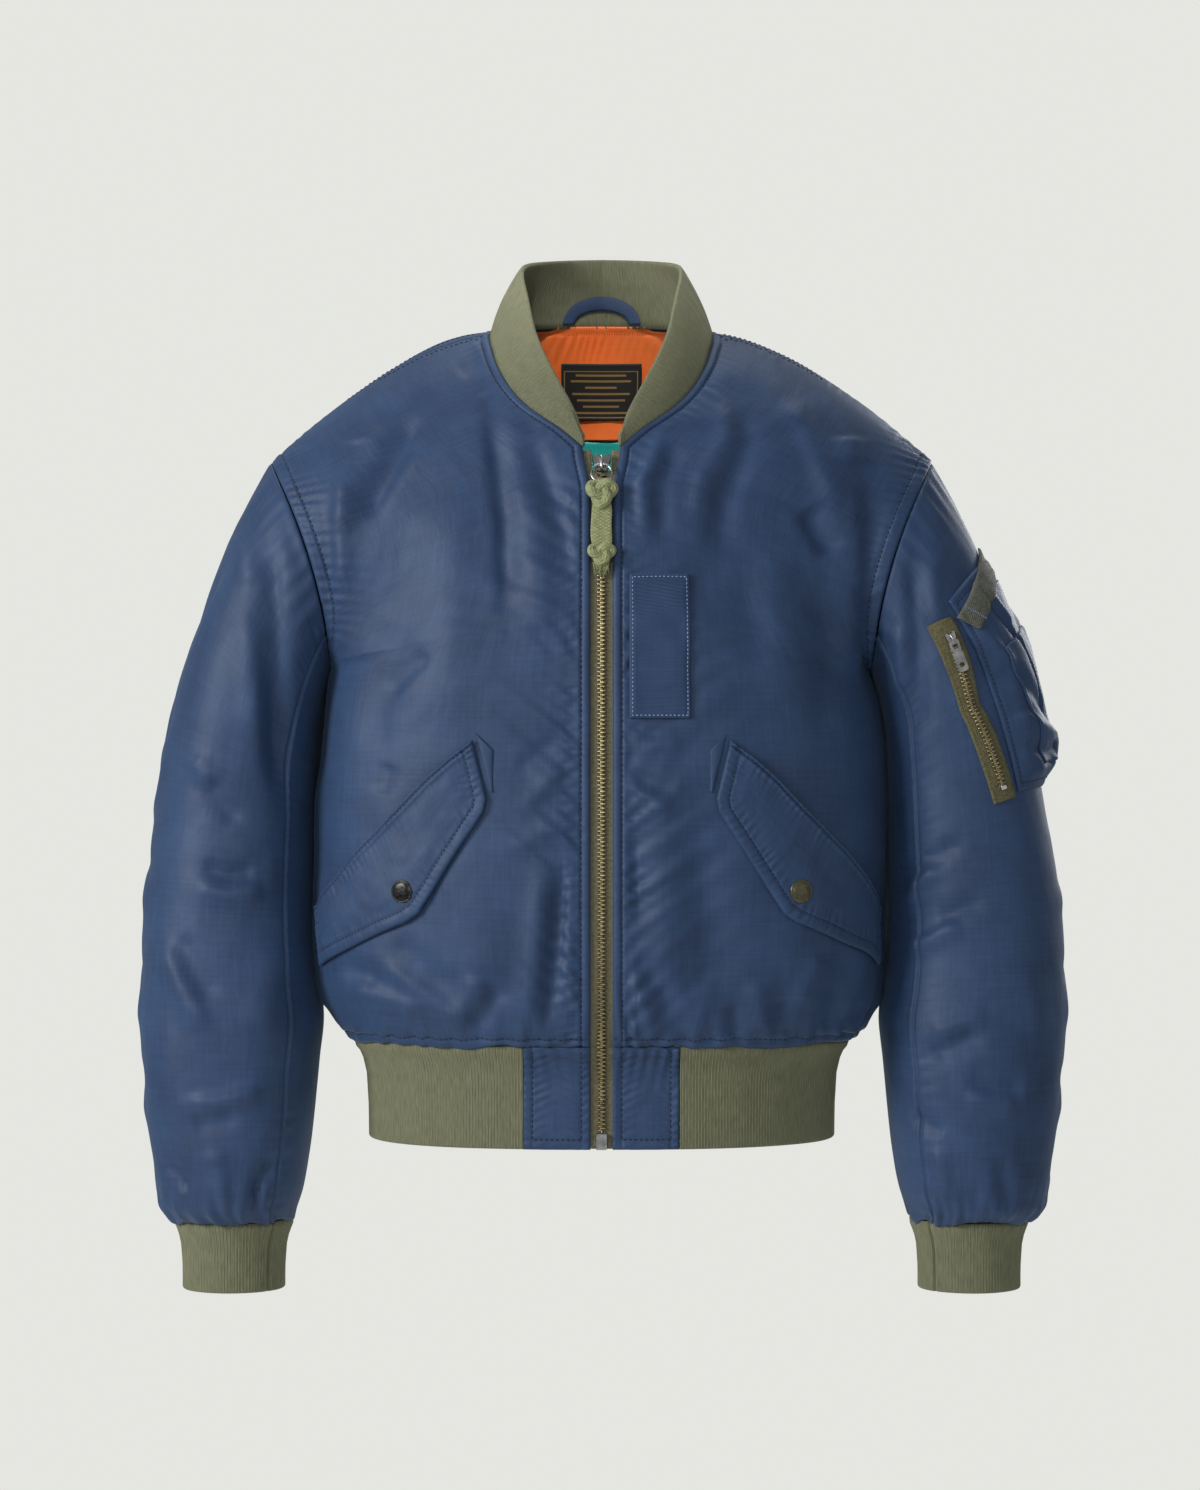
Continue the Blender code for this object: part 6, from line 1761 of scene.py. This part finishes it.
def stitches(name, runs, thread, pitch=4.2, length=2.7, radius=0.55, upright=False):
    """Spindles along runs of points with their outward directions, or across the runs when upright."""
    spindle = SPINDLE.reshape(-1, 3) * (length, radius, radius)
    block = strips(SPINDLE)[0].tolist() + end_faces(*SPINDLE.shape[:2])
    verts, faces = [], []
    for points, normals in runs:
        run = lengths(points)
        at = np.arange(pitch / 2, run[-1], pitch)
        way = unit(along(points, at + length / 2) - along(points, at - length / 2))
        out = between(normals, run, at)
        beside = unit(np.cross(way, out))
        if upright:
            way, beside = beside, -way
        for frame in zip(along(points, at), way, beside, out):
            faces += [[len(verts) + i for i in face] for face in block]
            verts += in_frame(frame, spindle).tolist()
    mesh = smooth_mesh(name, verts, faces)
    mesh.uv_layers.new(name="cloth_mm")
    return piece(name, mesh, thread)


def mirrored(run, side):
    """A run of places with their outward directions, on its own side."""
    return [part * (side, 1, 1) for part in run]


def inset(outline, depth):
    """The line that runs at one distance inside a closed outline, from its first corner round."""
    closed = np.array([*outline, outline[0]], float)
    line = along(closed, np.arange(0, lengths(closed)[-1], 0.8))
    left = unit(np.gradient(line, axis=0))[:, ::-1] * (-1, 1)
    inward = 1 if inside_outline(*(line[5] + left[5]), outline) else -1
    line = line + left * inward * depth
    return line[edge_distance(*line.T, outline) > depth - 0.25]


# %% [markdown]
# On the shell the thread is the cloth's own navy, painted darker: the extra darkness is painted shade, and
# its rows show by it and by their shadow. The chest patch is sewn in a paler blue, and the lining in orange
# with its stitches set upright.

# %% Sew the shell
above_hem = HEM_STITCH / (UNDERARM - HEM_SEAM)
to_shoulder = np.linspace(1.03, 1.95, 240)
shell_rows = []
for side, _ in SIDES:
    rows = [(front[side], PLACKET_STITCH, np.linspace(0.015, 1.955, 900)),
            (front[side], np.linspace(9, 96, 80), 1.975), (back[side], np.linspace(9, 130, 90), 1.975),
            (back[side], 6.0, np.linspace(1 + NECK_SHARE[BACK] + 0.01, 1.95, 90)),
            (tabs[side], np.linspace(TAB_STITCH, TAB_WIDTH - TAB_STITCH, 50), 53.2)]
    for panel, start in ((front[side], 9.0), (back[side], 1.0)):
        rows.append((panel, np.interp(to_shoulder, panel.levels, panel.ends) - ARMHOLE_STITCH, to_shoulder))
        end = np.interp(above_hem, panel.levels, panel.ends) - 2
        rows.append((panel, np.linspace(start, end, 300), above_hem))
    rows += [(tabs[side], across, np.linspace(2, 53, 120)) for across in (TAB_STITCH, TAB_WIDTH - TAB_STITCH)]
    shell_rows += [mirrored(panel.at(across, level, THREAD_LIFT), side) for panel, across, level in rows]
stitches("shell_stitches", shell_rows, navy_thread_with_painted_shade)

# %% Sew the flaps and the patch
flap_rows = []
for side, _ in SIDES:
    for depth, low, high in ((FLAP_STITCH, FLAP_STITCH + 0.6, 999), (PIPING, 0, PIPING + 0.4)):
        line = inset(FLAP, depth)
        from_top = apart(*line.T, FLAP_UPPER)[0]
        line = line[(from_top > low) & (from_top < high)].T
        flap_rows.append(mirrored(on_front(side, *line, flap_rise[side](*line) + THREAD_LIFT), side))
stitches("flap_stitches", flap_rows, navy_thread_with_painted_shade, 3.6, 2.4, 0.5)
line = inset(PATCH, PATCH_STITCH).T
stitches("patch_stitches", [on_front(LEFT, *line, patch_lift(*line) + THREAD_LIFT)], pale_thread,
         3.2, 2.2, 0.5)

# %% Sew the sleeve pocket and the neck


def on_pocket(line, lift=THREAD_LIFT):
    """A run over the sleeve pocket, from degrees and shares."""
    return on_sleeve(*line, pocket_surface(*line) + lift)


POCKET_SEAMS = (             # as shares across and down the pocket
    ((0.04, 0.04), (0.96, 0.04), (0.96, 0.96), (0.04, 0.96), (0.04, 0.04)), ((0.03, 0.09), (0.97, 0.09)))
stitches("pocket_stitches", [on_pocket(pocket_spot(*spread(seam, 300).T)) for seam in POCKET_SEAMS],
         navy_thread_with_painted_shade, 3.6, 2.4, 0.5)
tape_lines = [tape_edges[0] * (1 - share) + tape_edges[1] * share for share in (0.1, 0.9)]
stitches("sleeve_tape_stitches", [on_sleeve(*line.T, 2.15) for line in tape_lines], olive_thread,
         2.6, 1.8, 0.26)
cross_row = spread([webbing_edges[0][5], webbing_edges[1][5]], 24)
stitches("webbing_stitches", [on_pocket(cross_row.T, 2.4)], pale_thread, 1.5, 2.4, 0.3, True)
under_seam = np.array([inside_back(x, seam_height(x) - np.array([LINING_STITCH]), LINING_RECESS + 0.6)[0]
                       for x in np.linspace(-55, 55, 160)])
inward = np.array([(0, -1.0, 0)] * len(under_seam))
stitches("lining_stitches", [(under_seam, inward)], orange_thread, 2.1, 3.0, 0.42, True)
loop = loop_net()
loop_out = facing(loop)
stitches("loop_stitches", [(loop[row] + loop_out[row] * 0.3, loop_out[row]) for row in (2, 6)], navy_thread_with_painted_shade,
         3.0, 2.0, 0.4)

# %% [markdown]
# ## Pieces and triangles
# The pieces are counted, with the triangles that they make, their walls included.

triangles = sum((len(face.vertices) - 2) * (2 if made.modifiers else 1)
                for made in pieces.values() for face in made.data.polygons)
print("pieces: %d, triangles: %d" % (len(pieces), triangles))
